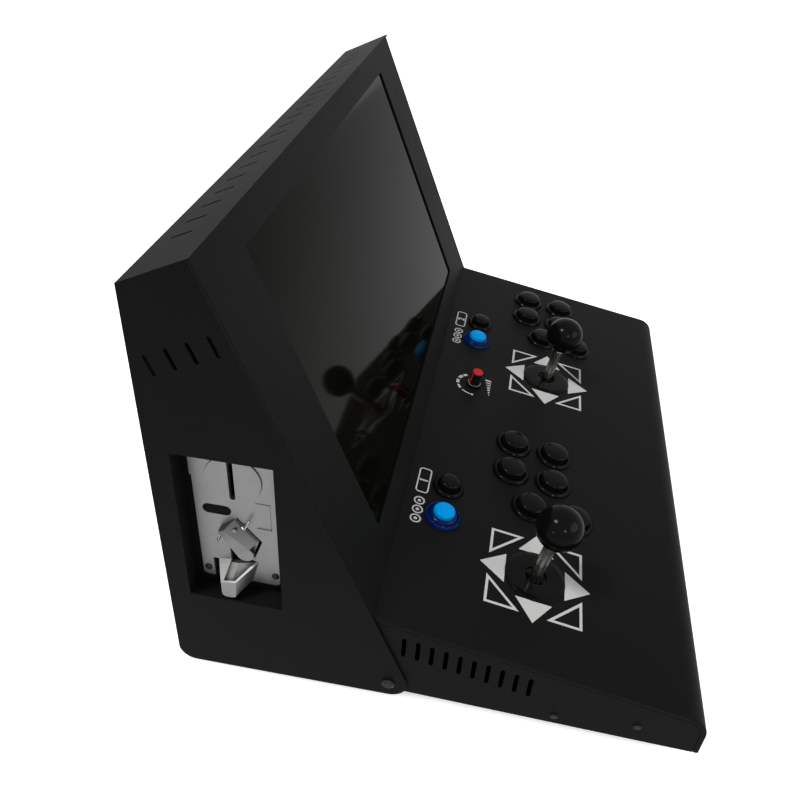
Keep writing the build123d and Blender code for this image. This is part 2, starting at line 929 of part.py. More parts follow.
# ================================================================ volume control
with BuildPart() as volume_potentiometer:
    turned(
        volume_place,
        (0, -sheet - volume_body_depth),
        (volume_body_radius, -sheet - volume_body_depth),
        (volume_body_radius, -sheet),
        (volume_bush_radius, -sheet),
        (volume_bush_radius, 0),
        (volume_nut_radius, 0),
        (volume_nut_radius, volume_nut_height),
        (volume_shaft_radius, volume_nut_height),
        (volume_shaft_radius, knob_height - knob_roof),
        (0, knob_height - knob_roof),
    )
save(volume_potentiometer, "volume_potentiometer")

with BuildPart() as volume_knob:
    hub = volume_shaft_radius + pivot_clearance
    recess = volume_nut_radius + slide_gap
    turned(
        volume_place,
        (recess, knob_lift),
        (knob_skirt_radius, knob_lift),
        (knob_skirt_radius, knob_skirt_height),
        (knob_cap_radius, knob_skirt_height + knob_round),
        (knob_top_radius, knob_height - knob_round),
        (knob_top_radius - knob_round, knob_height),
        (0, knob_height),
        (0, knob_height - knob_roof + slide_gap),
        (hub, knob_height - knob_roof + slide_gap),
        (hub, volume_nut_height + slide_gap),
        (recess, volume_nut_height + slide_gap),
    )
    with BuildSketch(volume_place.offset(knob_lift)):
        with PolarLocations(knob_skirt_radius, knob_flutes):
            Circle(knob_flute_radius)
    extrude(amount=knob_skirt_height, mode=Mode.SUBTRACT)
save(volume_knob, "volume_knob")

# ================================================================ main board
board_floor = foot_height + sheet
with BuildPart() as main_board:
    board_y = control_box_rear_y - sheet - board_rear_gap - board_depth / 2
    board_bottom = board_floor + board_stand_height
    with BuildSketch(Plane.XY.offset(board_bottom)):
        with Locations((board_x, board_y)):
            Rectangle(board_length, board_depth)
    extrude(amount=board_thickness)
    with BuildSketch(Plane.XY.offset(board_floor)):
        with Locations((board_x, board_y)):
            with GridLocations(
                board_length - 2 * board_stand_inset, board_depth - 2 * board_stand_inset, 2, 2
            ):
                Circle(board_stand_radius)
    extrude(amount=board_stand_height)
    board_top = Plane.XY.offset(board_bottom + board_thickness)
    with BuildSketch(board_top):
        with Locations((board_x + processor_x, board_y)):
            Rectangle(processor_size, processor_size)
    extrude(amount=processor_height)
    with BuildSketch(board_top):
        for x in memory_x:
            with Locations((board_x + x, board_y + memory_y)):
                Rectangle(memory_length, memory_width)
    extrude(amount=memory_height)
    with BuildSketch(board_top):
        with Locations((board_x, board_y - board_depth / 2 + plug_inset)):
            with GridLocations(plug_pitch, 0, plug_count, 1):
                Rectangle(plug_length, plug_width)
    extrude(amount=plug_height)
save(main_board, "main_board")

# ================================================================ screen housing


def on_front(rise, depth):
    return heel + front_up * rise + front_in * depth


def on_top(reach, depth):
    return brow + top_back * reach - top_out * depth


def on_back(rise, depth):
    return tail + back_up * rise - back_out * depth


def on_base(reach, height):
    return heel + base_back * reach + base_up * height


back_length = (crown - tail).length
brow_under = crossing(on_top(0, sheet), top_back, heel, front_up)
crown_under = crossing(on_top(0, sheet), top_back, tail, back_up)


def housing_side(side):
    """Flat side with a rounded heel about the pivot and a flange turned in along the back."""
    outer, inner = side * half_width, side * inner_half
    with BuildSketch(Plane.YZ.offset(min(outer, inner))) as profile:
        with BuildLine():
            Polyline(*flat(heel, brow_under, crown_under, tail), close=True)
        make_face()
        fillet(vertices().sort_by_distance((heel.Y, heel.Z))[0], ear_radius)
        fillet(vertices().sort_by_distance((tail.Y, tail.Z))[0], base_corner_radius)
        for index in range(side_vent_count):
            place = on_top(side_vent_setback + index * side_vent_pitch, side_vent_drop)
            with Locations((place.Y, place.Z)):
                SlotOverall(
                    side_vent_length, side_vent_width, rotation=90 - front_lean, mode=Mode.SUBTRACT
                )
        with Locations((pivot.Y, pivot.Z)):
            Circle(pivot_bolt_radius + pivot_clearance, mode=Mode.SUBTRACT)
    extrude(profile.sketch, amount=sheet)
    slab(
        min(inner, inner - side * side_flange),
        max(inner, inner - side * side_flange),
        on_back(base_corner_radius + side_flange, sheet),
        on_back(back_length - side_flange, sheet),
        on_back(back_length - side_flange, 2 * sheet),
        on_back(base_corner_radius + side_flange, 2 * sheet),
    )


with BuildPart() as housing_left_side:
    housing_side(-1)
    with BuildSketch(coin_side):
        RectangleRounded(cutout_width, cutout_height, cutout_corner)
    extrude(amount=-2 * sheet, mode=Mode.SUBTRACT)
save(housing_left_side, "housing_left_side")

with BuildPart() as housing_right_side:
    housing_side(1)
save(housing_right_side, "housing_right_side")

with BuildPart() as housing_top_cover:
    slab(
        -half_width,
        half_width,
        on_top(-top_overhang, 0),
        crown,
        crown_under,
        on_top(-top_overhang, sheet),
    )
    lip_half = inner_half - side_flange - seam
    slab(
        -lip_half,
        lip_half,
        crossing(on_top(0, sheet / 2), top_back, on_back(0, sheet), back_up),
        crossing(on_top(0, sheet / 2), top_back, on_back(0, 2 * sheet), back_up),
        on_back(back_length - side_flange, 2 * sheet),
        on_back(back_length - side_flange, sheet),
    )
    with BuildSketch(cover):
        with Locations((0, top_slot_station)):
            with GridLocations(top_slot_pitch, 0, top_slot_count, 1):
                SlotOverall(top_slot_length, top_slot_width, rotation=90)
    extrude(amount=-2 * sheet, mode=Mode.SUBTRACT)
save(housing_top_cover, "housing_top_cover")

door_middle = door_rise + door_height / 2
inlet_x = inlet_inset - half_width
hinge_line_x = door_x - door_width / 2
hinge_axis_height = hinge_knuckle_radius + slide_gap
knuckle_rises = (door_rise + hinge_inset, door_rise + door_height - hinge_inset)


def knuckle(rise, length, leaf_side):
    """Hinge knuckle about the door's pivot line, with its leaf lying on the panel beside it."""
    section = Plane(
        origin=rear.from_local_coords(Vector(hinge_line_x, rise - length / 2, 0)),
        x_dir=rear.x_dir,
        z_dir=rear.y_dir,
    )
    with BuildSketch(section) as profile:
        with Locations((0, -hinge_axis_height)):
            Circle(hinge_knuckle_radius)
        with Locations((leaf_side * hinge_leaf / 2, -sheet / 2)):
            Rectangle(hinge_leaf, sheet)
    extrude(profile.sketch, amount=length)


def hinge_bore(rise, length, radius, mode):
    """Cylinder on the door's pivot line."""
    section = Plane(
        origin=rear.from_local_coords(Vector(hinge_line_x, rise - length / 2, hinge_axis_height)),
        x_dir=rear.x_dir,
        z_dir=rear.y_dir,
    )
    with BuildSketch(section) as profile:
        Circle(radius)
    extrude(profile.sketch, amount=length, mode=mode)


with BuildPart() as housing_back:
    with BuildSketch(Plane.YZ.offset(-inner_half)):
        with BuildLine():
            FilletPolyline(
                *flat(crown_under, tail, on_base(base_length - base_plate_depth, 0)),
                radius=base_corner_radius,
            )
            offset(amount=sheet, side=Side.RIGHT)
        make_face()
    extrude(amount=2 * inner_half)
    with BuildSketch(rear):
        with Locations((door_x, door_middle)):
            RectangleRounded(door_width, door_height, door_corner)
        with Locations((inlet_x, inlet_rise)):
            Rectangle(inlet_width - inlet_lap, inlet_height - inlet_lap)
        for side in (-1, 1):
            with Locations((side * (inner_half - rear_vent_inset), back_length - rear_slot_drop)):
                with GridLocations(rear_slot_pitch, 0, rear_slot_count, 1):
                    SlotOverall(rear_slot_length, rear_slot_width, rotation=90)
    extrude(amount=-2 * sheet, mode=Mode.SUBTRACT)
    for rise in knuckle_rises:
        for end in (-1, 1):
            knuckle(rise + end * knuckle_length / 3, knuckle_length / 3 - slide_gap, -1)
        hinge_bore(rise, knuckle_length, hinge_pin_radius, Mode.ADD)
save(housing_back, "housing_back")

lock_x = door_x + door_width / 2 - lock_inset
with BuildPart() as service_door:
    with BuildSketch(rear):
        with Locations((door_x, door_middle)):
            RectangleRounded(door_width - 2 * door_gap, door_height - 2 * door_gap, door_corner)
        with Locations((lock_x, door_middle)):
            Circle(lock_radius + slide_gap, mode=Mode.SUBTRACT)
    extrude(amount=-sheet)
    for rise in knuckle_rises:
        knuckle(rise, knuckle_length / 3 - slide_gap, 1)
        hinge_bore(rise, knuckle_length / 3, hinge_pin_radius + hinge_clearance, Mode.SUBTRACT)
save(service_door, "service_door")

with BuildPart() as door_lock:
    lock_place = station(rear, lock_x, door_middle)
    turned(
        lock_place,
        (0, lock_flange + slide_gap),
        (lock_flange_radius, slide_gap + lock_flange),
        (lock_flange_radius, slide_gap),
        (lock_radius, slide_gap),
        (lock_radius, -lock_length),
        (0, -lock_length),
    )
    with BuildSketch(lock_place.offset(-lock_length)):
        with Locations((0, -cam_length / 2 + cam_width / 2)):
            SlotOverall(cam_length, cam_width, rotation=90)
    extrude(amount=-cam_thickness)
    with BuildSketch(lock_place.offset(lock_flange + slide_gap)):
        SlotOverall(key_slot_length, key_slot_width, rotation=90)
    extrude(amount=-lock_flange, mode=Mode.SUBTRACT)
save(door_lock, "door_lock")

with BuildPart() as housing_front:
    section = Plane(origin=heel, x_dir=across, z_dir=front_up)
    with BuildSketch(section):
        with BuildLine():
            FilletPolyline(
                (-inner_half, fascia_flange),
                (-inner_half, 0),
                (inner_half, 0),
                (inner_half, fascia_flange),
                radius=fascia_bend,
            )
            offset(amount=sheet, side=Side.LEFT)
        make_face()
    extrude(amount=front_length)
    above_deck = deck_meets_fascia + deck_out * fascia_gap
    split(bisect_by=Plane(origin=above_deck, x_dir=across, z_dir=deck_out), keep=Keep.TOP)
    split(bisect_by=cover.offset(-sheet), keep=Keep.BOTTOM)
    with BuildSketch(fascia):
        with Locations((0, aperture_base + aperture_height / 2)):
            RectangleRounded(aperture_width, aperture_height, aperture_corner)
    extrude(amount=-2 * sheet, mode=Mode.SUBTRACT)
save(housing_front, "housing_front")

screen_middle = aperture_base + aperture_height / 2
with BuildPart() as screen_glass:
    with BuildSketch(fascia.offset(-sheet)):
        with Locations((0, screen_middle)):
            RectangleRounded(
                aperture_width + 2 * glass_margin, aperture_height + 2 * glass_margin, aperture_corner
            )
    extrude(amount=-glass_thickness)
save(screen_glass, "screen_glass")

lcd_front = sheet + glass_thickness
with BuildPart() as lcd_panel:
    with BuildSketch(fascia.offset(-lcd_front)):
        with Locations((0, screen_middle)):
            Rectangle(aperture_width + 2 * lcd_margin, aperture_height + 2 * lcd_margin)
    extrude(amount=-lcd_thickness)
save(lcd_panel, "lcd_panel")

with BuildPart() as lcd_rails:
    rail_front = lcd_front + lcd_thickness
    for index in range(2):
        low = aperture_base + rail_rise + index * rail_pitch - rail_width / 2
        high = low + rail_width
        slab(
            -inner_half,
            inner_half,
            on_front(low, rail_front),
            on_front(high, rail_front),
            on_front(high, rail_front + rail_depth),
            on_front(high - sheet, rail_front + rail_depth),
            on_front(high - sheet, rail_front + sheet),
            on_front(low + sheet, rail_front + sheet),
            on_front(low + sheet, rail_front + rail_depth),
            on_front(low, rail_front + rail_depth),
        )
save(lcd_rails, "lcd_rails")

with BuildPart() as speakers:
    vent_middle = side_vent_setback + (side_vent_count - 1) * side_vent_pitch / 2
    ear = on_top(vent_middle, side_vent_drop)
    for side in (-1, 1):
        turned(
            Plane(origin=(side * inner_half, ear.Y, ear.Z), x_dir=(0, 1, 0), z_dir=(side, 0, 0)),
            (speaker_cone_radius, 0),
            (speaker_radius, 0),
            (speaker_radius, -speaker_flange),
            (speaker_cone_radius, -speaker_flange),
            (speaker_magnet_radius, -speaker_depth / 2),
            (speaker_magnet_radius, -speaker_depth),
            (0, -speaker_depth),
            (0, -speaker_depth / 2),
            (speaker_magnet_radius / 2, -speaker_depth / 2),
        )
save(speakers, "speakers")

supply_x = half_width - inlet_inset - inlet_width / 2 - supply_gap - supply_length / 2
with BuildPart() as power_supply:
    supply_near = base_length - base_corner_radius - supply_rear_gap
    for wall, mode in ((0, Mode.ADD), (supply_wall, Mode.SUBTRACT)):
        slab(
            supply_x - supply_length / 2 + wall,
            supply_x + supply_length / 2 - wall,
            on_base(supply_near - supply_depth + wall, sheet + wall),
            on_base(supply_near - wall, sheet + wall),
            on_base(supply_near - wall, sheet + supply_height - wall),
            on_base(supply_near - supply_depth + wall, sheet + supply_height - wall),
            mode=mode,
        )
    supply_face = on_base(supply_near, sheet + supply_height / 2) + across * supply_x
    with BuildSketch(Plane(origin=supply_face, x_dir=across * -1, z_dir=base_back)):
        with GridLocations(supply_slot_pitch, 0, supply_slot_count, 1):
            SlotOverall(supply_slot_length, supply_slot_width, rotation=90)
    extrude(amount=-2 * supply_wall, mode=Mode.SUBTRACT)
save(power_supply, "power_supply")

rocker_place = station(rear, inlet_x, inlet_rise + inlet_height / 2 - rocker_drop)
socket_place = station(rear, inlet_x, inlet_rise - inlet_height / 2 + socket_rise)
rocker_up = (
    rocker_place.y_dir * cos(radians(rocker_tilt)) - rocker_place.z_dir * sin(radians(rocker_tilt))
)
rocker_pivot = Plane(
    origin=rocker_place.from_local_coords(Vector(0, 0, inlet_flange - rocker_axis_depth)),
    x_dir=rocker_up,
    z_dir=rocker_place.x_dir,
)
with BuildPart() as power_inlet:
    with BuildSketch(rear):
        with Locations((inlet_x, inlet_rise)):
            RectangleRounded(inlet_width, inlet_height, inlet_corner)
    extrude(amount=inlet_flange)
    with BuildSketch(rear):
        with Locations((inlet_x, inlet_rise)):
            Rectangle(inlet_width - inlet_lap, inlet_height - inlet_lap)
    extrude(amount=-inlet_depth)
    with BuildSketch(socket_place.offset(inlet_flange)):
        RectangleRounded(inlet_socket_width, inlet_socket_height, inlet_corner)
    extrude(amount=-inlet_socket_depth, mode=Mode.SUBTRACT)
    with BuildSketch(socket_place.offset(inlet_flange - inlet_socket_depth)):
        with Locations(*inlet_blade_places):
            Rectangle(inlet_blade_width, inlet_blade_height)
    extrude(amount=inlet_blade_length)
    with BuildSketch(rocker_place.offset(inlet_flange)):
        Rectangle(rocker_width + 2 * slide_gap, rocker_height + 2 * rocker_room)
    extrude(amount=-rocker_well, mode=Mode.SUBTRACT)
    with BuildSketch(rocker_pivot):
        Circle(rocker_pin_radius + hinge_clearance)
    pin_room = rocker_width / 2 + rocker_pin_length + slide_gap
    extrude(amount=pin_room, both=True, mode=Mode.SUBTRACT)
save(power_inlet, "power_inlet")

with BuildPart() as power_rocker:
    half = rocker_height / 2
    crest = rocker_axis_depth + rocker_crest
    with BuildSketch(rocker_pivot):
        with BuildLine():
            Polyline(
                (-half, crest),
                (0, rocker_axis_depth - rocker_dip),
                (half, crest),
                (rocker_keel_half, -rocker_keel),
                (-rocker_keel_half, -rocker_keel),
                close=True,
            )
        make_face()
    extrude(amount=rocker_width / 2, both=True)
    with BuildSketch(rocker_pivot):
        Circle(rocker_pin_radius)
    extrude(amount=rocker_width / 2 + rocker_pin_length, both=True)
save(power_rocker, "power_rocker")

with BuildPart() as rear_pads:
    for side in (-1, 1):
        place = on_base(base_length - pad_setback, 0)
        with BuildSketch(Plane.XY):
            with Locations((side * (inner_half - pad_inset), place.Y)):
                Circle(pad_radius)
        extrude(amount=foot_height)
    split(bisect_by=Plane(origin=heel, x_dir=across, z_dir=base_up), keep=Keep.BOTTOM)
save(rear_pads, "rear_pads")

# ================================================================ coin side
plate_face = -plate_recess
plate_back = plate_face - plate_thickness
mech_place = station(coin_side, 0, plate_lift, plate_back)
slot_middle = (coin_slot_bottom + coin_slot_top) / 2
slot_length = coin_slot_top - coin_slot_bottom
lever_place = Plane(
    origin=coin_side.from_local_coords(Vector(lever_x, lever_y, plate_face)),
    x_dir=coin_side.x_dir * cos(radians(lever_slant)) + coin_side.y_dir * sin(radians(lever_slant)),
    z_dir=coin_side.z_dir,
)
lever_pivot = station(lever_place, -lever_pin_reach, lever_pin_offset)

with BuildPart() as coin_bracket:
    well_width = cutout_width + 2 * bracket_clearance
    well_height = cutout_height + 2 * bracket_clearance
    outer_width, outer_height = well_width + 2 * sheet, well_height + 2 * sheet
    with BuildSketch(coin_side.offset(-sheet)):
        Rectangle(outer_width + 2 * bracket_margin, outer_height + 2 * bracket_margin)
        Rectangle(well_width, well_height, mode=Mode.SUBTRACT)
    extrude(amount=-sheet)
    with BuildSketch(coin_side.offset(-2 * sheet)):
        Rectangle(outer_width, outer_height)
        Rectangle(well_width, well_height, mode=Mode.SUBTRACT)
    extrude(amount=plate_back + 2 * sheet)
    with BuildSketch(coin_side.offset(plate_back)):
        Rectangle(outer_width, outer_height)
        with Locations((0, plate_lift)):
            Rectangle(mech_width + 2 * mech_gap, mech_height + 2 * mech_gap, mode=Mode.SUBTRACT)
    extrude(amount=-sheet)
save(coin_bracket, "coin_bracket")


def cup_loft(base, nose, reach, mode, roundings=(0, 0)):
    """Solid between an outline on the face of the plate and a smaller one in front of it."""
    sections = []
    for outline, height, rounding in ((base, 0, roundings[0]), (nose, reach, roundings[1])):
        with BuildSketch(coin_side.offset(plate_face + height)) as section:
            with BuildLine():
                Polyline(*outline, close=True)
            make_face()
            if rounding:
                fillet(vertices().sort_by(Axis.Y)[:2], rounding)
        sections.append(section.sketch)
    loft(sections, mode=mode)


def lever_section(reach, height, hem, shelf):
    """Cross-section of the reject lever: a steep face, a ridge and a gentle one."""
    place = Plane(
        origin=lever_place.from_local_coords(Vector(reach, 0, 0)),
        x_dir=lever_place.y_dir,
        z_dir=lever_place.x_dir,
    )
    with BuildSketch(place) as section:
        with BuildLine():
            Polyline(
                (lever_crest, lever_lift),
                (lever_ridge, height),
                (hem, shelf),
                (hem, lever_lift),
                close=True,
            )
        make_face()
    return section.sketch


with BuildPart() as coin_plate:
    with BuildSketch(coin_side.offset(plate_back)):
        with Locations((0, plate_lift)):
            RectangleRounded(plate_width, plate_height, plate_corner)
        ear_middle = plate_lift + plate_height / 2 - plate_corner - plate_ear_height / 2
        with Locations((-plate_width / 2, ear_middle)):
            Rectangle(2 * plate_ear_width, plate_ear_height)
    extrude(amount=plate_thickness)
    with BuildSketch(coin_side.offset(plate_face)):
        with Locations((boss_x, boss_y)):
            Circle(boss_radius)
    extrude(amount=boss_rise, taper=boss_taper)
    with BuildSketch(coin_side.offset(plate_face)):
        with Locations((emblem_x, emblem_y)):
            Rectangle(emblem_width, emblem_height)
    extrude(amount=emblem_rise)
    with BuildSketch(coin_side.offset(plate_face)):
        with Locations((emblem_x, emblem_y - emblem_height / 2)):
            Rectangle(emblem_width, ledge_height)
    extrude(amount=ledge_rise)
    cup_loft(cup_base, cup_nose, cup_reach, Mode.ADD, (cup_base_round, cup_nose_round))
    cup_loft(trough_base, trough_nose, cup_reach - cup_wall, Mode.SUBTRACT)
    with BuildSketch(coin_side.offset(plate_face)):
        with BuildLine():
            Polyline(*trough_base, close=True)
        make_face()
    extrude(amount=-plate_thickness, mode=Mode.SUBTRACT)
    with BuildSketch(coin_side.offset(plate_face + boss_rise)):
        with Locations((coin_slot_x, slot_middle)):
            SlotOverall(slot_length, coin_slot_width, rotation=90)
        with Locations((notch_x, plate_lift - plate_height / 2)):
            Rectangle(notch_width, 2 * notch_height)
    extrude(amount=-plate_thickness - boss_rise, mode=Mode.SUBTRACT)
    with BuildSketch(coin_side.offset(plate_face)):
        with Locations((hook_x, hook_y)):
            SlotOverall(hook_length, hook_width, rotation=hook_slant)
    extrude(amount=-hook_depth, mode=Mode.SUBTRACT)
    with BuildSketch(lever_place):
        gap_start = lever_crest + lever_gap
        gap_end = gap_start + lever_slot_width
        end_x, end_y = lever_slot_end
        with BuildLine():
            Polyline(
                (-lever_tail, gap_start),
                (lever_nose, gap_start),
                (end_x - lever_slot_width, end_y),
                (end_x, end_y),
                (lever_nose + lever_slot_width, gap_end),
                (-lever_tail, gap_end),
                close=True,
            )
        make_face()
    extrude(amount=-plate_thickness, mode=Mode.SUBTRACT)
    with BuildSketch(lever_place.offset(-plate_thickness)):
        with Locations((-lever_tie, gap_start)):
            Rectangle(lever_tie_width, lever_slot_width, align=(Align.CENTER, Align.MIN))
    extrude(amount=plate_thickness + lever_tie_rise)
    with BuildSketch(lever_pivot):
        Circle(lever_pin_radius + hinge_clearance)
    extrude(amount=-plate_thickness, mode=Mode.SUBTRACT)
save(coin_plate, "coin_plate")

with BuildPart() as coin_reject_lever:
    loft(
        [
            lever_section(-lever_tail, lever_tail_height, lever_tail_hem, lever_tail_shelf),
            lever_section(lever_nose, lever_nose_height, lever_nose_hem, lever_nose_shelf),
        ]
    )
    with BuildSketch(lever_place.offset(lever_lift)):
        with Locations((tongue_x, tongue_y)):
            Circle(tongue_radius)
    extrude(amount=tongue_height - lever_lift)
    with BuildSketch(lever_pivot.offset(-plate_thickness)):
        Circle(lever_pin_radius)
    extrude(amount=plate_thickness + lever_nose_height)
save(coin_reject_lever, "coin_reject_lever")

with BuildPart() as coin_mechanism:
    with BuildSketch(mech_place):
        Rectangle(mech_width, mech_height)
    extrude(amount=-mech_depth)
    with BuildSketch(coin_side.offset(plate_back)):
        with Locations((coin_slot_x, slot_middle)):
            SlotOverall(slot_length, coin_slot_width, rotation=90)
    extrude(amount=-channel_depth, mode=Mode.SUBTRACT)
    with BuildSketch(coin_side.offset(plate_back)):
        with Locations((return_hole_x, return_hole_y)):
            Rectangle(return_hole_width, return_hole_height)
    extrude(amount=-chute_depth, mode=Mode.SUBTRACT)
save(coin_mechanism, "coin_mechanism")

with BuildPart() as coin_box:
    tray_rear = base_length - coin_box_rear_gap
    tray_front = tray_rear - coin_box_depth
    coin_box_left = coin_box_side_gap - inner_half
    slab(
        coin_box_left,
        coin_box_left + coin_box_length,
        on_base(tray_front, sheet),
        on_base(tray_rear, sheet),
        on_base(tray_rear, sheet + coin_box_height),
        on_base(tray_front, sheet + coin_box_height),
    )
    slab(
        coin_box_left + coin_box_wall,
        coin_box_left + coin_box_length - coin_box_wall,
        on_base(tray_front + coin_box_wall, sheet + coin_box_wall),
        on_base(tray_rear - coin_box_wall, sheet + coin_box_wall),
        on_base(tray_rear - coin_box_wall, 2 * sheet + coin_box_height),
        on_base(tray_front + coin_box_wall, 2 * sheet + coin_box_height),
        mode=Mode.SUBTRACT,
    )
save(coin_box, "coin_box")

with BuildPart() as housing_screws:
    screw_step = (back_length - rear_screw_high - rear_screw_low) / (rear_screw_count - 1)
    screw_rises = [rear_screw_low + index * screw_step for index in range(rear_screw_count)]
    screw_stations = [
        station(rear, side * (inner_half - side_flange / 2), rise)
        for side in (-1, 1)
        for rise in screw_rises
    ]
    for x, y in plate_screw_places:
        screw_stations.append(station(coin_side, x, y, plate_face))
    for place in screw_stations:
        screw_head(place)
save(housing_screws, "housing_screws")
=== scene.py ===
"""Finish and stage for a two-player tabletop arcade cabinet.

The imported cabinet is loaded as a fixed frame. Smooth turned parts, printed deck marks, the small
fittings of the coin plate and procedural finishes are then made over it, one operator for each
group of pieces. All lengths are in metres.
"""

import json
from math import atan2, cos, pi, radians, sin, sqrt

import bmesh
import bpy
from bpy.props import FloatProperty, FloatVectorProperty, PointerProperty
from mathutils import Euler, Matrix, Vector


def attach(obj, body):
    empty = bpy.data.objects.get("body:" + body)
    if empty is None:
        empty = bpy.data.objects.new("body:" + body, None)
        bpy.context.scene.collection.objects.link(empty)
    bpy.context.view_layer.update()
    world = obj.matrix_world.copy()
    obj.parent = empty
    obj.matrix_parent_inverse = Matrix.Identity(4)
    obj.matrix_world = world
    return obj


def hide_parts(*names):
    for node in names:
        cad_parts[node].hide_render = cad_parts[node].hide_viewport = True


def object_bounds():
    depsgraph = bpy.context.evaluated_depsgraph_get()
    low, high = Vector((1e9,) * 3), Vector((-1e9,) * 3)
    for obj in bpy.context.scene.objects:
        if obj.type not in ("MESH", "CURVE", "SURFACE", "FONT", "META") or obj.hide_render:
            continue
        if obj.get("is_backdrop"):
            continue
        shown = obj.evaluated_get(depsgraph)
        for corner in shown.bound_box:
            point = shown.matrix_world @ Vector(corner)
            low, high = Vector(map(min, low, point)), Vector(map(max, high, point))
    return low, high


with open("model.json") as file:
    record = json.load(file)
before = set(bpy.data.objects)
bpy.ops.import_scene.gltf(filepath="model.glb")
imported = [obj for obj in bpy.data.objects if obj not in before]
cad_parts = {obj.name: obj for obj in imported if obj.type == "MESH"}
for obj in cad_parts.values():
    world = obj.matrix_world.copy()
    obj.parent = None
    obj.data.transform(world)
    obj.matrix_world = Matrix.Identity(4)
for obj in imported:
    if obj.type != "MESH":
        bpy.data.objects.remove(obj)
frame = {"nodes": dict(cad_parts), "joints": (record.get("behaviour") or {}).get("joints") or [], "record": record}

bl_info = {
    "name": "Tabletop arcade cabinet",
    "version": (1, 0, 0),
    "blender": (4, 5, 0),
    "location": "View3D > Sidebar > Arcade",
    "description": "Finishes, turned parts, deck marks and stage of a tabletop arcade cabinet",
    "category": "Object",
}

MM = 0.001
nodes = frame["nodes"]
joints = {joint["name"]: joint for joint in frame["joints"]}

# ------------------------------------------------------------------------------ settings


def colour(name, description, default):
    """A linear RGB colour that a user can change."""
    return FloatVectorProperty(
        name=name, description=description, subtype="COLOR", size=3, min=0, max=1, default=default
    )


def length(name, description, default):
    """A length in metres that a user can change."""
    return FloatProperty(
        name=name, description=description, unit="LENGTH", min=0, precision=5, default=default
    )


def tilt(name, description, degrees):
    """An angle that a user can change."""
    return FloatProperty(
        name=name, description=description, subtype="ANGLE", default=radians(degrees)
    )


class ArcadeColours(bpy.types.PropertyGroup):
    """Colours of the cabinet's finishes."""

    powder: colour("Powder coat", "Satin black of the folded steel", (0.0052, 0.0056, 0.0050))
    moulding: colour(
        "Black moulding", "Gloss black of rims, plungers and balls", (0.0035, 0.0035, 0.0033)
    )
    cap: colour("Blue plunger", "Bright blue of the two coin plungers", (0.0, 0.3, 0.78))
    ring: colour("Blue rim", "Deep blue of the rims round them", (0.0005, 0.011, 0.085))
    pointer: colour("Red knob top", "Red of the volume knob's top", (0.46, 0.024, 0.032))
    print: colour("Printed marks", "Screen-printed white on the deck", (0.52, 0.52, 0.50))
    glass: colour(
        "Screen glass", "Nearly black front glass of the display", (0.0032, 0.0029, 0.0014)
    )
    casting: colour("Die casting", "Bare zinc of the coin plate", (0.26, 0.26, 0.255))


class ArcadeSizes(bpy.types.PropertyGroup):
    """Sizes of what is added to the frame."""

    edge: length("Folded edge", "Radius that the coat leaves on the edges of the steel", 0.35 * MM)
    cast_edge: length("Cast edge", "Radius on the edges of the coin plate and its lever", 0.55 * MM)
    film: length("Ink film", "Thickness of the printed marks", 0.06 * MM)
    arrow_tip: length("Arrow tip", "From a stick's axis to the tip of a filled triangle", 43.5 * MM)
    arrow_base: length(
        "Arrow base", "From a stick's axis to the base of a filled triangle", 23.5 * MM
    )
    arrow_half: length("Arrow half width", "Half the base of a filled triangle", 14.2 * MM)
    corner_reach: length(
        "Corner mark", "Right angle of an outlined triangle, along each axis", 37.2 * MM
    )
    corner_leg: length("Corner mark end", "Near end of its legs, along each axis", 10.4 * MM)
    corner_line: length("Corner line", "Line width of an outlined triangle", 2.1 * MM)
    dial_radius: length("Volume scale", "Radius of the dashed scale round the knob", 15.8 * MM)
    loudness: length("Volume bars", "Height of the tallest bar beside the knob", 6.0 * MM)
    dome: length("Plunger dome", "Rise of a plunger's dome above its solid's crown", 4.2 * MM)
    mark_height: length("Button mark", "Height of the marks above the upper buttons", 11.0 * MM)
    plate_lean: tilt("Plate lean", "Lean of the coin plate from upright", 1.19)
    plate_thickness: length("Plate thickness", "From the coin plate's back to its face", 3.0 * MM)
    label: length("Bare label", "Length of the bare label under the coin slot", 20.3 * MM)


class ArcadeStage(bpy.types.PropertyGroup):
    """Camera and light."""

    place: FloatVectorProperty(
        name="Camera", description="Where the camera stands", subtype="TRANSLATION", size=3,
        precision=4, default=(-0.6217, -0.0158, 0.5460),
    )
    heading: tilt("Heading", "Turn of the camera from +Y towards +X", 79.96)
    dip: tilt("Dip", "How far the camera looks down", 34.6)
    roll: tilt("Roll", "Roll of the camera about its own axis", 3.02)
    lens: FloatProperty(name="Lens", description="Focal length in millimetres", default=36.32)
    shift: FloatVectorProperty(
        name="Shift", description="Shift of the lens across and up, in widths of the sensor",
        size=2, precision=4, default=(0.0317, -0.0423),
    )
    floor: colour("Floor", "Pale grey floor", (0.86, 0.86, 0.86))


# ------------------------------------------------------------------------------ shader maths


def feed(tree, socket, value):
    """Give a socket a link or a plain value."""
    if isinstance(value, Shade):
        tree.links.new(value.socket, socket)
    elif socket.type == "RGBA":
        socket.default_value = (*value, 1)
    else:
        socket.default_value = value


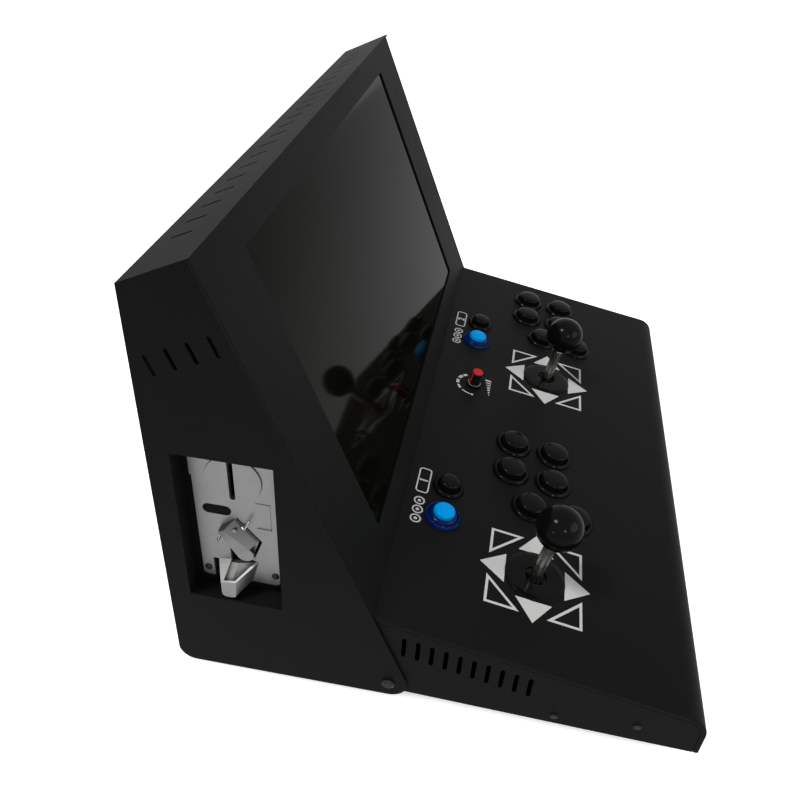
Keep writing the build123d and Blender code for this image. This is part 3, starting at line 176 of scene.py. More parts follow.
class Shade:
    """One output of a node tree, which can stand in a sum or a product like a number."""

    def __init__(self, tree, socket):
        self.tree = tree
        self.socket = socket

    def math(self, operation, *values):
        settings = {"operation": operation}
        return make_node(self.tree, "ShaderNodeMath", settings, dict(enumerate(values)))

    def __add__(self, other):
        return self.math("ADD", self, other)

    __radd__ = __add__

    def __sub__(self, other):
        return self.math("SUBTRACT", self, other)

    def __rsub__(self, other):
        return self.math("SUBTRACT", other, self)

    def __mul__(self, other):
        return self.math("MULTIPLY", self, other)

    __rmul__ = __mul__

    def __gt__(self, other):
        return self.math("GREATER_THAN", self, other)

    def __lt__(self, other):
        return self.math("LESS_THAN", self, other)

    def ramp(self, *stops):
        """A value that goes from stop to stop, each given as (position, value)."""
        return make_node(self.tree, "ShaderNodeValToRGB", {"stops": stops}, {"Fac": self})


def make_node(tree, kind, settings=None, values=None, output=0):
    """Add a node: its settings first, then the values or links of its sockets."""
    node = tree.nodes.new(kind)
    for name, setting in (settings or {}).items():
        if name == "stops":
            elements = node.color_ramp.elements
            while len(elements) < len(setting):
                elements.new(1)
            for element, (position, value) in zip(elements, setting):
                element.position = position
                element.color = (value, value, value, 1)
        else:
            setattr(node, name, setting)
    for name, value in (values or {}).items():
        feed(tree, node.inputs[name], value)
    return Shade(tree, node.outputs[output]) if node.outputs else None


class Finish:
    """A material in the making, with the patterns that its sockets are fed from."""

    def __init__(self, name):
        self.material = bpy.data.materials.new(name)
        self.material.use_nodes = True
        self.tree = self.material.node_tree
        self.tree.nodes.clear()
        self.place = self.node("ShaderNodeTexCoord", output="Object")

    def node(self, kind, settings=None, values=None, output=0):
        return make_node(self.tree, kind, settings, values, output)

    def noise(self, size, detail=3.0, roughness=0.55, stretch=(1, 1, 1)):
        """Cloudy pattern from 0 to 1 whose patches are about size across."""
        spot = self.node("ShaderNodeMapping", {}, {"Vector": self.place, "Scale": stretch})
        return self.node(
            "ShaderNodeTexNoise", {},
            {"Vector": spot, "Scale": 1 / size, "Detail": detail, "Roughness": roughness},
        )

    def cells(self, size, feature="F1", output="Distance"):
        """Cell pattern whose cells are about size across."""
        return self.node(
            "ShaderNodeTexVoronoi", {"feature": feature}, {"Vector": self.place, "Scale": 1 / size},
            output,
        )

    def blend(self, factor, first, second):
        """A colour between two colours."""
        node = self.tree.nodes.new("ShaderNodeMix")
        node.data_type = "RGBA"
        sockets = {socket.identifier: socket for socket in node.inputs}
        feed(self.tree, sockets["Factor_Float"], factor)
        feed(self.tree, sockets["A_Color"], first)
        feed(self.tree, sockets["B_Color"], second)
        results = {socket.identifier: socket for socket in node.outputs}
        return Shade(self.tree, results["Result_Color"])

    def bump(self, height, distance, strength=1.0):
        """A normal from a height pattern; distance is the relief in metres."""
        return self.node(
            "ShaderNodeBump", {}, {"Height": height, "Distance": distance, "Strength": strength},
            "Normal",
        )

    def surface(self, **values):
        """Close the material with a shader that takes its sockets by their names."""
        sockets = {name.replace("_", " "): value for name, value in values.items()}
        shader = self.node("ShaderNodeBsdfPrincipled", {}, sockets)
        self.node("ShaderNodeOutputMaterial", {}, {"Surface": shader})
        return self.material


def shade(rgb, factor):
    """A colour made darker or lighter."""
    return tuple(min(1.0, channel * factor) for channel in rgb)


# ------------------------------------------------------------------------------ finishes


def powder_coat(rgb):
    """Satin powder coat: fine orange peel, faint cloudiness and rubbed patches."""
    coat = Finish("powder_coat")
    peel = coat.noise(0.9 * MM, 2.0)
    cloud = coat.noise(90 * MM, 4.0)
    rub = coat.noise(14 * MM, 5.0, 0.7)
    dust = (coat.noise(1.6 * MM, 2.0) > 0.735) * (rub > 0.52)
    tint = coat.blend(cloud, shade(rgb, 0.75), shade(rgb, 1.3))
    tint = coat.blend(dust * 0.08, tint, (0.09, 0.09, 0.085))
    return coat.surface(
        Base_Color=tint,
        Roughness=0.40 + 0.12 * cloud + 0.1 * rub,
        Specular_IOR_Level=0.035,
        Normal=coat.bump(peel, 0.035 * MM, 0.55),
    )


def gloss_moulding(name, rgb, roughness, gloss):
    """Polished injection moulding with finger marks and hair scratches."""
    shell = Finish(name)
    smear = shell.noise(5 * MM, 4.0, 0.65)
    hair = shell.noise(1.1 * MM, 2.0, 0.5, (1, 14, 1))
    scratch = (hair > 0.69) * 1.0
    tint = shell.blend(smear, shade(rgb, 0.85), shade(rgb, 1.15))
    return shell.surface(
        Base_Color=shell.blend(scratch * 0.03, tint, (0.12, 0.12, 0.12)),
        Roughness=roughness + 0.1 * smear + 0.06 * scratch,
        Specular_IOR_Level=gloss,
        Normal=shell.bump(smear, 0.02 * MM, 0.3),
    )


def matte_moulding(name, rgb):
    """Spark-eroded moulding with a fine even grain."""
    shell = Finish(name)
    grain = shell.noise(0.5 * MM, 2.0)
    cloud = shell.noise(20 * MM)
    return shell.surface(
        Base_Color=shell.blend(cloud, shade(rgb, 0.8), shade(rgb, 1.2)),
        Roughness=0.55 + 0.2 * grain,
        Specular_IOR_Level=0.05,
        Normal=shell.bump(grain, 0.03 * MM, 0.5),
    )


def rubber(name, rgb):
    """Soft black rubber, dusty in places."""
    sole = Finish(name)
    grain = sole.noise(0.8 * MM, 3.0)
    dust = sole.noise(6 * MM, 4.0)
    return sole.surface(
        Base_Color=sole.blend(dust, rgb, shade(rgb, 1.8)),
        Roughness=0.8 + 0.1 * grain,
        Specular_IOR_Level=0.12,
        Normal=sole.bump(grain, 0.05 * MM, 0.5),
    )


def turned_metal(name, rgb, roughness):
    """Polished and plated bar with faint turning rings and a few dull marks."""
    bar = Finish(name)
    rings = bar.noise(1.2 * MM, 2.0, 0.5, (0.1, 0.1, 1))
    smear = bar.noise(4 * MM, 4.0)
    return bar.surface(
        Base_Color=bar.blend(smear, shade(rgb, 0.8), rgb),
        Metallic=1.0,
        Roughness=roughness + 0.1 * rings + 0.12 * smear,
        Normal=bar.bump(rings, 0.01 * MM, 0.3),
    )


def galvanised(name, rgb):
    """Zinc-coated sheet with faint spangle."""
    plate = Finish(name)
    spangle = plate.cells(6 * MM, output="Color")
    grain = plate.noise(2 * MM, 3.0)
    return plate.surface(
        Base_Color=plate.blend(spangle * 0.5 + 0.3 * grain, shade(rgb, 0.8), rgb),
        Metallic=1.0,
        Roughness=0.34 + 0.16 * grain,
        Normal=plate.bump(grain, 0.01 * MM, 0.4),
    )


def die_casting(name, rgb, painted_shade=0.0):
    """Bare cast zinc: cloudy flow marks, fine pits, and painted shade that darkens what faces upwards."""
    cast = Finish(name)
    flow = cast.noise(11 * MM, 5.0, 0.6, (1, 1, 0.35))
    pits = cast.noise(0.7 * MM, 3.0)
    dark = (cast.noise(2.4 * MM, 3.0) > 0.66) * 0.35
    tint = cast.blend(flow, shade(rgb, 0.78), shade(rgb, 1.1))
    tint = cast.blend(dark, tint, shade(rgb, 0.45))
    # Painted shade: faces that point upwards are darkened by their normal, standing in for the darker light on the
    # lever's upper face.
    if painted_shade:
        facing = cast.node("ShaderNodeNewGeometry", output="Normal")
        height = cast.node("ShaderNodeSeparateXYZ", {}, {"Vector": facing}, "Z")
        upper_shade = height.ramp((0.15, 0.0), (0.5, 1.0)) * painted_shade
        tint = cast.blend(upper_shade * (0.7 + 0.5 * flow), tint, shade(rgb, 0.12))
    return cast.surface(
        Base_Color=tint,
        Metallic=0.9,
        Roughness=0.34 + 0.16 * flow,
        Normal=cast.bump(pits, 0.04 * MM, 0.5),
    )


def screen_print(rgb):
    """Thin matte ink, slightly worn and uneven in cover."""
    ink = Finish("screen_print")
    wear = ink.noise(3 * MM, 5.0, 0.7)
    pin = ink.noise(0.5 * MM, 2.0)
    return ink.surface(
        Base_Color=ink.blend((wear > 0.63) * 0.25 + 0.1 * pin, rgb, shade(rgb, 0.55)),
        Roughness=0.6 + 0.2 * wear,
        Specular_IOR_Level=0.3,
        Normal=ink.bump(pin, 0.01 * MM, 0.4),
    )


def dark_glass(rgb):
    """Polished dark glass with a trace of wiping marks."""
    pane = Finish("dark_glass")
    wipe = pane.noise(60 * MM, 4.0, 0.6, (1, 0.3, 0.3))
    return pane.surface(
        Base_Color=pane.blend(wipe, shade(rgb, 0.7), shade(rgb, 1.25)),
        Roughness=0.03 + 0.05 * wipe,
        Specular_IOR_Level=0.03,
        Specular_Tint=(1.0, 0.95, 0.72),
        Normal=pane.bump(wipe, 0.02 * MM, 0.1),
    )


def circuit_board(rgb):
    """Solder mask over copper tracks, with tinned pads."""
    board = Finish("circuit_board")
    tracks = board.cells(3.2 * MM, "DISTANCE_TO_EDGE") < 0.12
    pads = board.cells(2.6 * MM) < 0.16
    tint = board.blend(tracks, rgb, shade(rgb, 2.2))
    return board.surface(
        Base_Color=board.blend(pads, tint, (0.5, 0.48, 0.42)),
        Metallic=0.6 * pads,
        Roughness=0.35 + 0.1 * board.noise(2 * MM),
        Normal=board.bump(tracks, 0.03 * MM, 0.5),
    )


materials = {}


def make_materials(tints):
    """All finishes, by the name of the maker's finish."""
    blue, ring = tuple(tints.cap), tuple(tints.ring)
    materials.update(
        powder=powder_coat(tuple(tints.powder)),
        moulding=gloss_moulding("gloss_black", tuple(tints.moulding), 0.08, 0.05),
        cap=gloss_moulding("blue_plunger", blue, 0.2, 0.03),
        ring=gloss_moulding("blue_rim", ring, 0.08, 0.07),
        pointer=matte_moulding("red_top", tuple(tints.pointer)),
        black=matte_moulding("matte_black", (0.004, 0.004, 0.004)),
        rubber=rubber("black_rubber", (0.008, 0.008, 0.008)),
        nickel=turned_metal("nickel", (0.42, 0.41, 0.38), 0.14),
        satin=turned_metal("satin_ring", (0.13, 0.14, 0.13), 0.3),
        blackened=turned_metal("black_screw", (0.03, 0.03, 0.03), 0.3),
        zinc=galvanised("zinc_sheet", (0.55, 0.56, 0.57)),
        casting=die_casting("die_casting", tuple(tints.casting)),
        lever=die_casting("painted_shade_casting", tuple(tints.casting), 0.75),
        ink=screen_print(tuple(tints.print)),
        glass=dark_glass(tuple(tints.glass)),
        board=circuit_board((0.008, 0.09, 0.035)),
    )


# ------------------------------------------------------------------------------ mesh helpers


def place_of(origin, along, normal):
    """Matrix whose X is along, whose Z is normal and whose origin is a point."""
    z = Vector(normal).normalized()
    x = (Vector(along) - z * Vector(along).dot(z)).normalized()
    y = z.cross(x)
    turn = Matrix((x, y, z)).transposed().to_4x4()
    return Matrix.Translation(Vector(origin)) @ turn


def vertices_of(node, place):
    """A solid's vertices in a place's own axes."""
    inverse = place.inverted()
    return [inverse @ vertex.co for vertex in nodes[node].data.vertices]


def span(node, place, near=None, floor=None):
    """Lowest and highest corner of a solid's vertices, measured in a place's own axes.

    With near, only the vertices within that distance of the place's Z axis count, and with
    floor only those above that height.
    """
    points = vertices_of(node, place)
    if near is not None:
        points = [p for p in points if p.xy.length < near]
    if floor is not None:
        points = [p for p in points if p.z > floor]
    low = Vector([min(p[axis] for p in points) for axis in range(3)])
    high = Vector([max(p[axis] for p in points) for axis in range(3)])
    return low, high


def new_piece(name, mesh_bm, material, body, stands_for=(), smooth=True):
    """Turn a bmesh into a piece that rides on a body and takes one finish."""
    bmesh.ops.recalc_face_normals(mesh_bm, faces=mesh_bm.faces)
    mesh = bpy.data.meshes.new(name)
    mesh_bm.to_mesh(mesh)
    mesh_bm.free()
    for polygon in mesh.polygons:
        polygon.use_smooth = smooth
    piece = bpy.data.objects.new(name, mesh)
    bpy.context.scene.collection.objects.link(piece)
    mesh.materials.append(materials[material])
    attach(piece, body)
    if stands_for:
        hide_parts(*stands_for)


def soften(outline, steps=3):
    """Round the corners of an outline whose points are (radius, height, bend).

    A bend of zero keeps the corner sharp. Returns plain (radius, height) points.
    """
    rounded = []
    count = len(outline)
    for index, (x, y, bend) in enumerate(outline):
        corner = Vector((x, y))
        if not bend or index in (0, count - 1):
            rounded.append((x, y))
            continue
        before = Vector(outline[index - 1][:2]) - corner
        after = Vector(outline[index + 1][:2]) - corner
        reach = min(bend, before.length * 0.45, after.length * 0.45)
        start = corner + before.normalized() * reach
        end = corner + after.normalized() * reach
        for step in range(steps + 1):
            t = step / steps
            point = start * (1 - t) ** 2 + corner * 2 * t * (1 - t) + end * t * t
            rounded.append((point.x, point.y))
    return rounded


def add_loop(shape, place, points, height):
    """One vertex for each (x, y) point, at a height over a place's plane."""
    return [shape.verts.new(place @ Vector((x, y, height))) for x, y in points]


def circle(radius, around, x=0.0):
    """Points evenly round a circle whose middle is at x."""
    angles = [2 * pi * index / around for index in range(around)]
    return [(x + radius * cos(angle), radius * sin(angle)) for angle in angles]


def join(shape, low, high):
    """Faces between two loops of vertices. A loop may be a single point."""
    count = max(len(low), len(high))
    for index in range(count):
        after = (index + 1) % count
        corners = [low[index % len(low)], low[after % len(low)]]
        corners += [high[after % len(high)], high[index % len(high)]]
        kept = list(dict.fromkeys(corners))
        if len(kept) > 2:
            shape.faces.new(kept)


def join_all(shape, loops):
    """Faces between each loop of vertices and the next."""
    for low, high in zip(loops, loops[1:]):
        join(shape, low, high)


def lathe(place, outline, around=64, solid=None):
    """Revolve (radius, height) points about a place's Z axis."""
    shape, on_axis = solid or bmesh.new(), 1e-7
    loops = []
    for radius, height in outline:
        points = [(0, 0)] if radius < on_axis else circle(radius, around)
        loops.append(add_loop(shape, place, points, height))
    join_all(shape, loops)
    return shape


def closed(outline):
    """The outline with its first point repeated at the end, for a ring-shaped section."""
    return outline + [outline[0]]


def patch(place, points, thickness, solid=None):
    """A thin solid patch whose outline is (x, y) points in a place's plane."""
    shape = solid or bmesh.new()
    low, high = (add_loop(shape, place, points, height) for height in (0, thickness))
    shape.faces.new(low[::-1])
    shape.faces.new(high)
    join(shape, low, high)
    return shape


def band(place, outer, inner, thickness, solid=None):
    """Thin solid ring between two outlines that have the same number of points."""
    shape = solid or bmesh.new()
    section = ((outer, 0), (outer, thickness), (inner, thickness), (inner, 0))
    join_all(shape, closed([add_loop(shape, place, *corner) for corner in section]))
    return shape


def inset_triangle(points, gap):
    """A triangle's outline moved inwards by gap."""
    moved = []
    for index in range(3):
        here, after, before = (Vector(points[(index + k) % 3]) for k in (0, 1, 2))
        along, back = (after - here).normalized(), (before - here).normalized()
        middle = (along + back).normalized()
        half = along.angle(back) / 2
        moved.append(tuple(here + middle * (gap / sin(half))))
    return moved


# ------------------------------------------------------------------------------ places

deck_out = -Vector(joints["start_button_1_press"]["axis"])
deck_turn = place_of((0, 0, 0), (1, 0, 0), deck_out)
deck_top = span("control_panel", deck_turn)[1].z
deck = deck_turn @ Matrix.Translation((0, 0, deck_top))
PLAYERS = (1, 2)


def deck_place(x, y):
    """A place on the deck's surface whose Z axis is square to it."""
    return deck @ Matrix.Translation((x, y, 0))


def over_node(node):
    """The place on the deck straight above a round solid, with its corners."""
    low, high = span(node, deck)
    middle = (low + high) / 2
    return deck_place(middle.x, middle.y), low, high


def stick_place(player):
    """The place on the deck that a joystick stands in."""
    spot = deck.inverted() @ Vector(joints[f"joystick_{player}_pitch"]["pos_m"])
    return deck_place(spot.x, spot.y)


action_names = [name for name in nodes if name.startswith("player_")]
start_names = [f"start_button_{player}" for player in PLAYERS]
blue_names = [f"blue_button_{player}" for player in PLAYERS]


# ------------------------------------------------------------------------------ operators


class Maker:
    """What the cabinet's operators share."""

    bl_options = {"REGISTER", "UNDO"}

    @property
    def sizes(self):
        return bpy.context.scene.arcade_sizes

    @property
    def colours(self):
        return bpy.context.scene.arcade_colours


def smooth_group(sharpest=radians(32)):
    """Geometry nodes that shade a solid smooth, apart from the edges that bend more sharply."""
    group = bpy.data.node_groups.new("smooth_faces", "GeometryNodeTree")
    for side in ("INPUT", "OUTPUT"):
        group.interface.new_socket("Geometry", in_out=side, socket_type="NodeSocketGeometry")
    solid = make_node(group, "NodeGroupInput")
    faces = make_node(group, "GeometryNodeSetShadeSmooth", {}, {"Geometry": solid})
    bend = make_node(group, "GeometryNodeInputMeshEdgeAngle", output="Unsigned Angle")
    sharp = make_node(group, "FunctionNodeCompare", {}, {"A": bend, "B": sharpest})
    edges = make_node(
        group, "GeometryNodeSetShadeSmooth", {"domain": "EDGE"},
        {"Geometry": faces, "Selection": sharp, "Shade Smooth": False},
    )
    make_node(group, "NodeGroupOutput", {}, {0: edges})
    return group


class ARCADE_OT_finishes(Maker, bpy.types.Operator):
    """Give every carried-over solid its finish, and the steel its softened edges"""

    bl_idname = "arcade.finishes"
    bl_label = "Finishes"

    def execute(self, context):
        make_materials(self.colours)
        by_slot = {
            "black_powder_coat": "powder",
            "black_rubber": "rubber",
            "black_screws": "blackened",
            "zinc_steel": "zinc",
            "nickel": "nickel",
            "gloss_black": "moulding",
            "matte_black": "black",
            "blue": "cap",
            "circuit_board": "board",
            "screen_glass": "glass",
            "die_cast": "casting",
        }
        group = smooth_group()
        for part in frame["record"]["subparts"]:
            solid = nodes[part["node"]]
            slot = part["material_slot"]
            finish = "lever" if part["node"] == "coin_reject_lever" else by_slot[slot]
            solid.data.materials.clear()
            solid.data.materials.append(materials[finish])
            if slot in ("black_powder_coat", "die_cast"):
                merge = solid.modifiers.new("flat_faces", "DECIMATE")
                merge.decimate_type = "DISSOLVE"
                merge.angle_limit = radians(0.5)
                bevel = solid.modifiers.new("soft_edges", "BEVEL")
                bevel.width = self.sizes.cast_edge if slot == "die_cast" else self.sizes.edge
                bevel.segments = 2
                bevel.limit_method = "ANGLE"
                bevel.angle_limit = radians(40)
            shading = solid.modifiers.new("smooth_faces", "NODES")
            shading.node_group = group
        return {"FINISHED"}


class ARCADE_OT_joysticks(Maker, bpy.types.Operator):
    """Ball tops, polished shafts and dust washers of the two joysticks"""

    bl_idname = "arcade.joysticks"
    bl_label = "Joysticks"

    def ball(self, player, place, stem):
        """A ball with a flat foot, recessed round its shaft. Returns its radius and foot height."""
        low, high = span(f"joystick_{player}_ball", place)
        radius = (high.x - low.x) / 2
        centre = high.z - radius
        drop = centre - low.z
        start = pi - atan2(sqrt(radius**2 - drop**2), drop)
        recess, turns = low.z + 0.6 * MM, 28
        outline = [(0, recess), (stem + 0.4 * MM, recess), (stem + 0.9 * MM, low.z)]
        for step in range(turns + 1):
            angle = start * (1 - step / turns)
            outline.append((radius * sin(angle), centre + radius * cos(angle)))
        new_piece(
            f"ball_top_{player}", lathe(place, outline, 72), "moulding",
            f"joystick_{player}_stick", [f"joystick_{player}_ball"],
        )
        return radius, low.z

    def shaft(self, player, place, stem, ball_radius, ball_foot):
        """A shaft with a neck inside its ball and the cross pin that it turns on."""
        node = f"joystick_{player}_shaft"
        foot = span(node, place, near=ball_radius / 3)[0].z
        end, neck = 1.2 * MM, stem - 0.5 * MM
        outline = soften([
            (0, foot, 0), (stem - end, foot, 0.3 * MM), (stem, foot + end, 0.3 * MM),
            (stem, ball_foot - 1.6 * MM, 0.2 * MM), (neck, ball_foot - 1.2 * MM, 0.1 * MM),
            (neck, ball_foot + 0.7 * MM, 0), (0, ball_foot + 0.7 * MM, 0),
        ])
        bar = lathe(place, outline, 40)
        pivot = joints[f"joystick_{player}_pitch"]["pos_m"]
        cross = place_of(pivot, (1, 0, 0), deck_turn.col[1].xyz)
        low, high = span(node, place)
        half, pin, bend = (high.y - low.y) / 2, 2.0 * MM, 0.3 * MM
        outline = soften([(0, -half, 0), (pin, -half, bend), (pin, half, bend), (0, half, 0)])
        lathe(cross, outline, 24, bar)
        new_piece(
            f"stick_shaft_{player}", bar, "nickel", f"joystick_{player}_stick", [node]
        )

    def washer(self, place, solid):
        """A dust washer that falls away at its edge and stays inside the printed triangles."""
        hole = min(point.xy.length for point in vertices_of("dust_washers", place))
        high = span("dust_washers", place, near=32 * MM)[1]
        radius = min(high.x, self.sizes.arrow_base + 0.3 * MM)
        outline = soften([
            (hole, 0, 0.1 * MM), (hole, high.z, 0.5 * MM),
            (hole + 2.2 * MM, high.z + 0.05 * MM, 0.3 * MM),
            (radius * 0.86, high.z * 0.92, 1.5 * MM), (radius, 0.75 * MM, 0.5 * MM), (radius, 0, 0),
        ])
        return lathe(place, closed(outline), 72, solid)

    def execute(self, context):
        washers = None
        for player in PLAYERS:
            place = stick_place(player)
            stem = span(f"joystick_{player}_shaft", place, floor=0)[1].x
            self.shaft(player, place, stem, *self.ball(player, place, stem))
            washers = self.washer(place, washers)
        new_piece("dust_discs", washers, "moulding", "control_box", ["dust_washers"])
        return {"FINISHED"}


class ARCADE_OT_buttons(Maker, bpy.types.Operator):
    """Bevelled rims and domed plungers of the sixteen push buttons"""

    bl_idname = "arcade.buttons"
    bl_label = "Push buttons"

    def rim(self, place, node, solid, trim=0.0):
        """One rim with its barrel, as tall as its solid, and narrower by what is trimmed."""
        low, high = span(node, place, near=17.5 * MM)
        radius, top, foot = high.x - trim, high.z, low.z
        points = vertices_of(node, place)
        bore = min(p.xy.length for p in points if p.z > top * 0.8)
        barrel = max(p.xy.length for p in points if p.z < foot * 0.9 and p.xy.length < high.x)
        stem_hole, floor = 4 * MM, foot + 2 * MM
        outline = soften([
            (barrel, 0, 0), (radius - 0.1 * MM, 0, 0.1 * MM), (radius, 0.5 * MM, 0.5 * MM),
            (radius - 0.2 * MM, top * 0.42, 0.6 * MM), (radius - 1.6 * MM, top, 0.8 * MM),
            (bore + 0.9 * MM, top, 0.5 * MM), (bore, top - 0.9 * MM, 0.4 * MM),
            (bore, floor, 0), (stem_hole, floor, 0), (stem_hole, foot, 0), (barrel, foot, 0),
        ])
        return lathe(place, closed(outline), 64, solid)

    def plunger(self, name, material, slot, shoulder=None):
        """One domed plunger; a shoulder of another finish narrows the dome."""
        place, low, high = over_node(name)
        radius = (high.x - low.x) / 2
        crown = high.z
        points = vertices_of(name, place)
        stem = max(p.xy.length for p in points if p.z < low.z + 1 * MM)
        skirt = min(p.z for p in points if p.xy.length > radius * 0.95)
        dome_share = 0.74
        face = radius * dome_share if shoulder else radius
        brim, peak = crown + 0.2 * self.sizes.dome, crown + self.sizes.dome
        outline = soften([
            (0, low.z, 0), (stem, low.z, 0.4 * MM), (stem, skirt, 0), (face, skirt, 0.3 * MM),
            (face, brim, 0),
        ])
        steps, fullness = 14, 0.8
        for step in range(1, steps):
            angle = step / steps * pi / 2
            height = brim + (peak - brim) * sin(angle) ** fullness
            outline.append((face * cos(angle) ** fullness, height))
        outline.append((0, peak))
        new_piece(name + "_cap", lathe(place, outline, 64), material, name, [name])
        if shoulder:
            inner = face - 0.2 * MM
            outline = soften([
                (inner, skirt, 0), (radius, skirt, 0.2 * MM), (radius, crown - 2.4 * MM, 1.2 * MM),
                (face + 0.6 * MM, crown - 0.9 * MM, 0.4 * MM), (inner, crown - 0.9 * MM, 0),
            ])
            ring = lathe(place, closed(outline), 64)
            new_piece(name + "_shoulder", ring, shoulder, name)

    def execute(self, context):
        black, blue = None, None
        for name in action_names + start_names:
            black = self.rim(over_node(name)[0], "button_rims", black)
            self.plunger(name, "moulding", "gloss_black")
        for name in blue_names:
            blue = self.rim(over_node(name)[0], "blue_button_rims", blue, 1.3 * MM)
            self.plunger(name, "cap", "blue", "ring")
        new_piece("black_rims", black, "moulding", "control_box", ["button_rims"])
        new_piece("blue_rims", blue, "ring", "control_box", ["blue_button_rims"])
        return {"FINISHED"}


class ARCADE_OT_volume(Maker, bpy.types.Operator):
    """Tapered volume knob with a fluted skirt, a plated ring, a red top and a red pointer"""

    bl_idname = "arcade.volume"
    bl_label = "Volume knob"

    def skirt(self, place, radius, foot, height):
        """A disc whose edge is cut by shallow grip flutes."""
        flutes, around, cut = 24, 192, 0.045
        bottom = foot + 0.4 * MM
        levels = [(0, bottom, 0), (radius, bottom, 1), (radius, foot + height - 0.7 * MM, 1)]
        levels += [(radius - 0.5 * MM, foot + height, 0.4), (0, foot + height, 0)]
        shape = bmesh.new()
        loops = []
        for reach, level, fluted in levels:
            points = []
            for index in range(around):
                angle = 2 * pi * index / around
                depth = reach * (1 - cut * fluted * (0.5 + 0.5 * cos(flutes * angle)))
                points.append((depth * cos(angle), depth * sin(angle)))
            loops.append(add_loop(shape, place, points, level))
        join_all(shape, loops)
        bmesh.ops.remove_doubles(shape, verts=shape.verts, dist=1e-6)
        return shape

    def execute(self, context):
        place, low, high = over_node("volume_knob")
        radius, top, foot = (high.x - low.x) / 2, high.z, low.z
        skirt_height, cap_height = 2.7 * MM, 2.2 * MM
        step = foot + skirt_height
        wide, narrow = radius * 0.74, radius * 0.67
        body = self.skirt(place, radius, foot, skirt_height)
        seam = top - cap_height
        outline = soften([
            (0, step - 0.3 * MM, 0), (wide, step - 0.3 * MM, 0), (narrow, seam, 0.1 * MM),
            (narrow - 0.4 * MM, seam + 0.2 * MM, 0), (0, seam + 0.2 * MM, 0),
        ])
        lathe(place, outline, 48, body)
        new_piece("knob_body", body, "black", "volume_knob", ["volume_knob"], False)
        inner, outer, bend = wide - 0.1 * MM, radius - 0.9 * MM, 0.2 * MM
        outline = soften([
            (inner, step - 0.2 * MM, 0), (outer, step - 0.2 * MM, 0),
            (outer, step + 0.25 * MM, bend), (wide + 0.1 * MM, step + 0.45 * MM, bend),
            (inner, step + 0.45 * MM, 0),
        ])
        ring = lathe(place, closed(outline), 64)
        new_piece("knob_ring", ring, "satin", "volume_knob")
        outline = soften([
            (0, seam, 0), (narrow, seam, 0), (narrow, top - 0.5 * MM, 0.8 * MM),
            (narrow * 0.8, top, 0.5 * MM), (0, top - 0.1 * MM, 0),
        ])
        cap = lathe(place, outline, 48)
        half, proud = 0.65 * MM, 0.25 * MM
        side = place @ Matrix.Rotation(radians(130), 4, "Z")
        box = ((0, 1, 3, 2), (4, 5, 7, 6), (0, 1, 5, 4), (2, 3, 7, 6), (0, 2, 6, 4), (1, 3, 7, 5))
        for lower, upper, reach_low, reach_high in (
            (step + 0.4 * MM, seam + 0.2 * MM, wide, narrow), (seam, top - 0.8 * MM, narrow, narrow)
        ):
            points = []
            for level, reach in ((lower, reach_low), (upper, reach_high)):
                for out in (reach - 0.8 * MM, reach + proud):
                    points += [(out, -half, level), (out, half, level)]
            corners = [cap.verts.new(side @ Vector(point)) for point in points]
            for face in box:
                cap.faces.new([corners[index] for index in face])
        new_piece("knob_cap", cap, "pointer", "volume_knob", smooth=False)
        return {"FINISHED"}


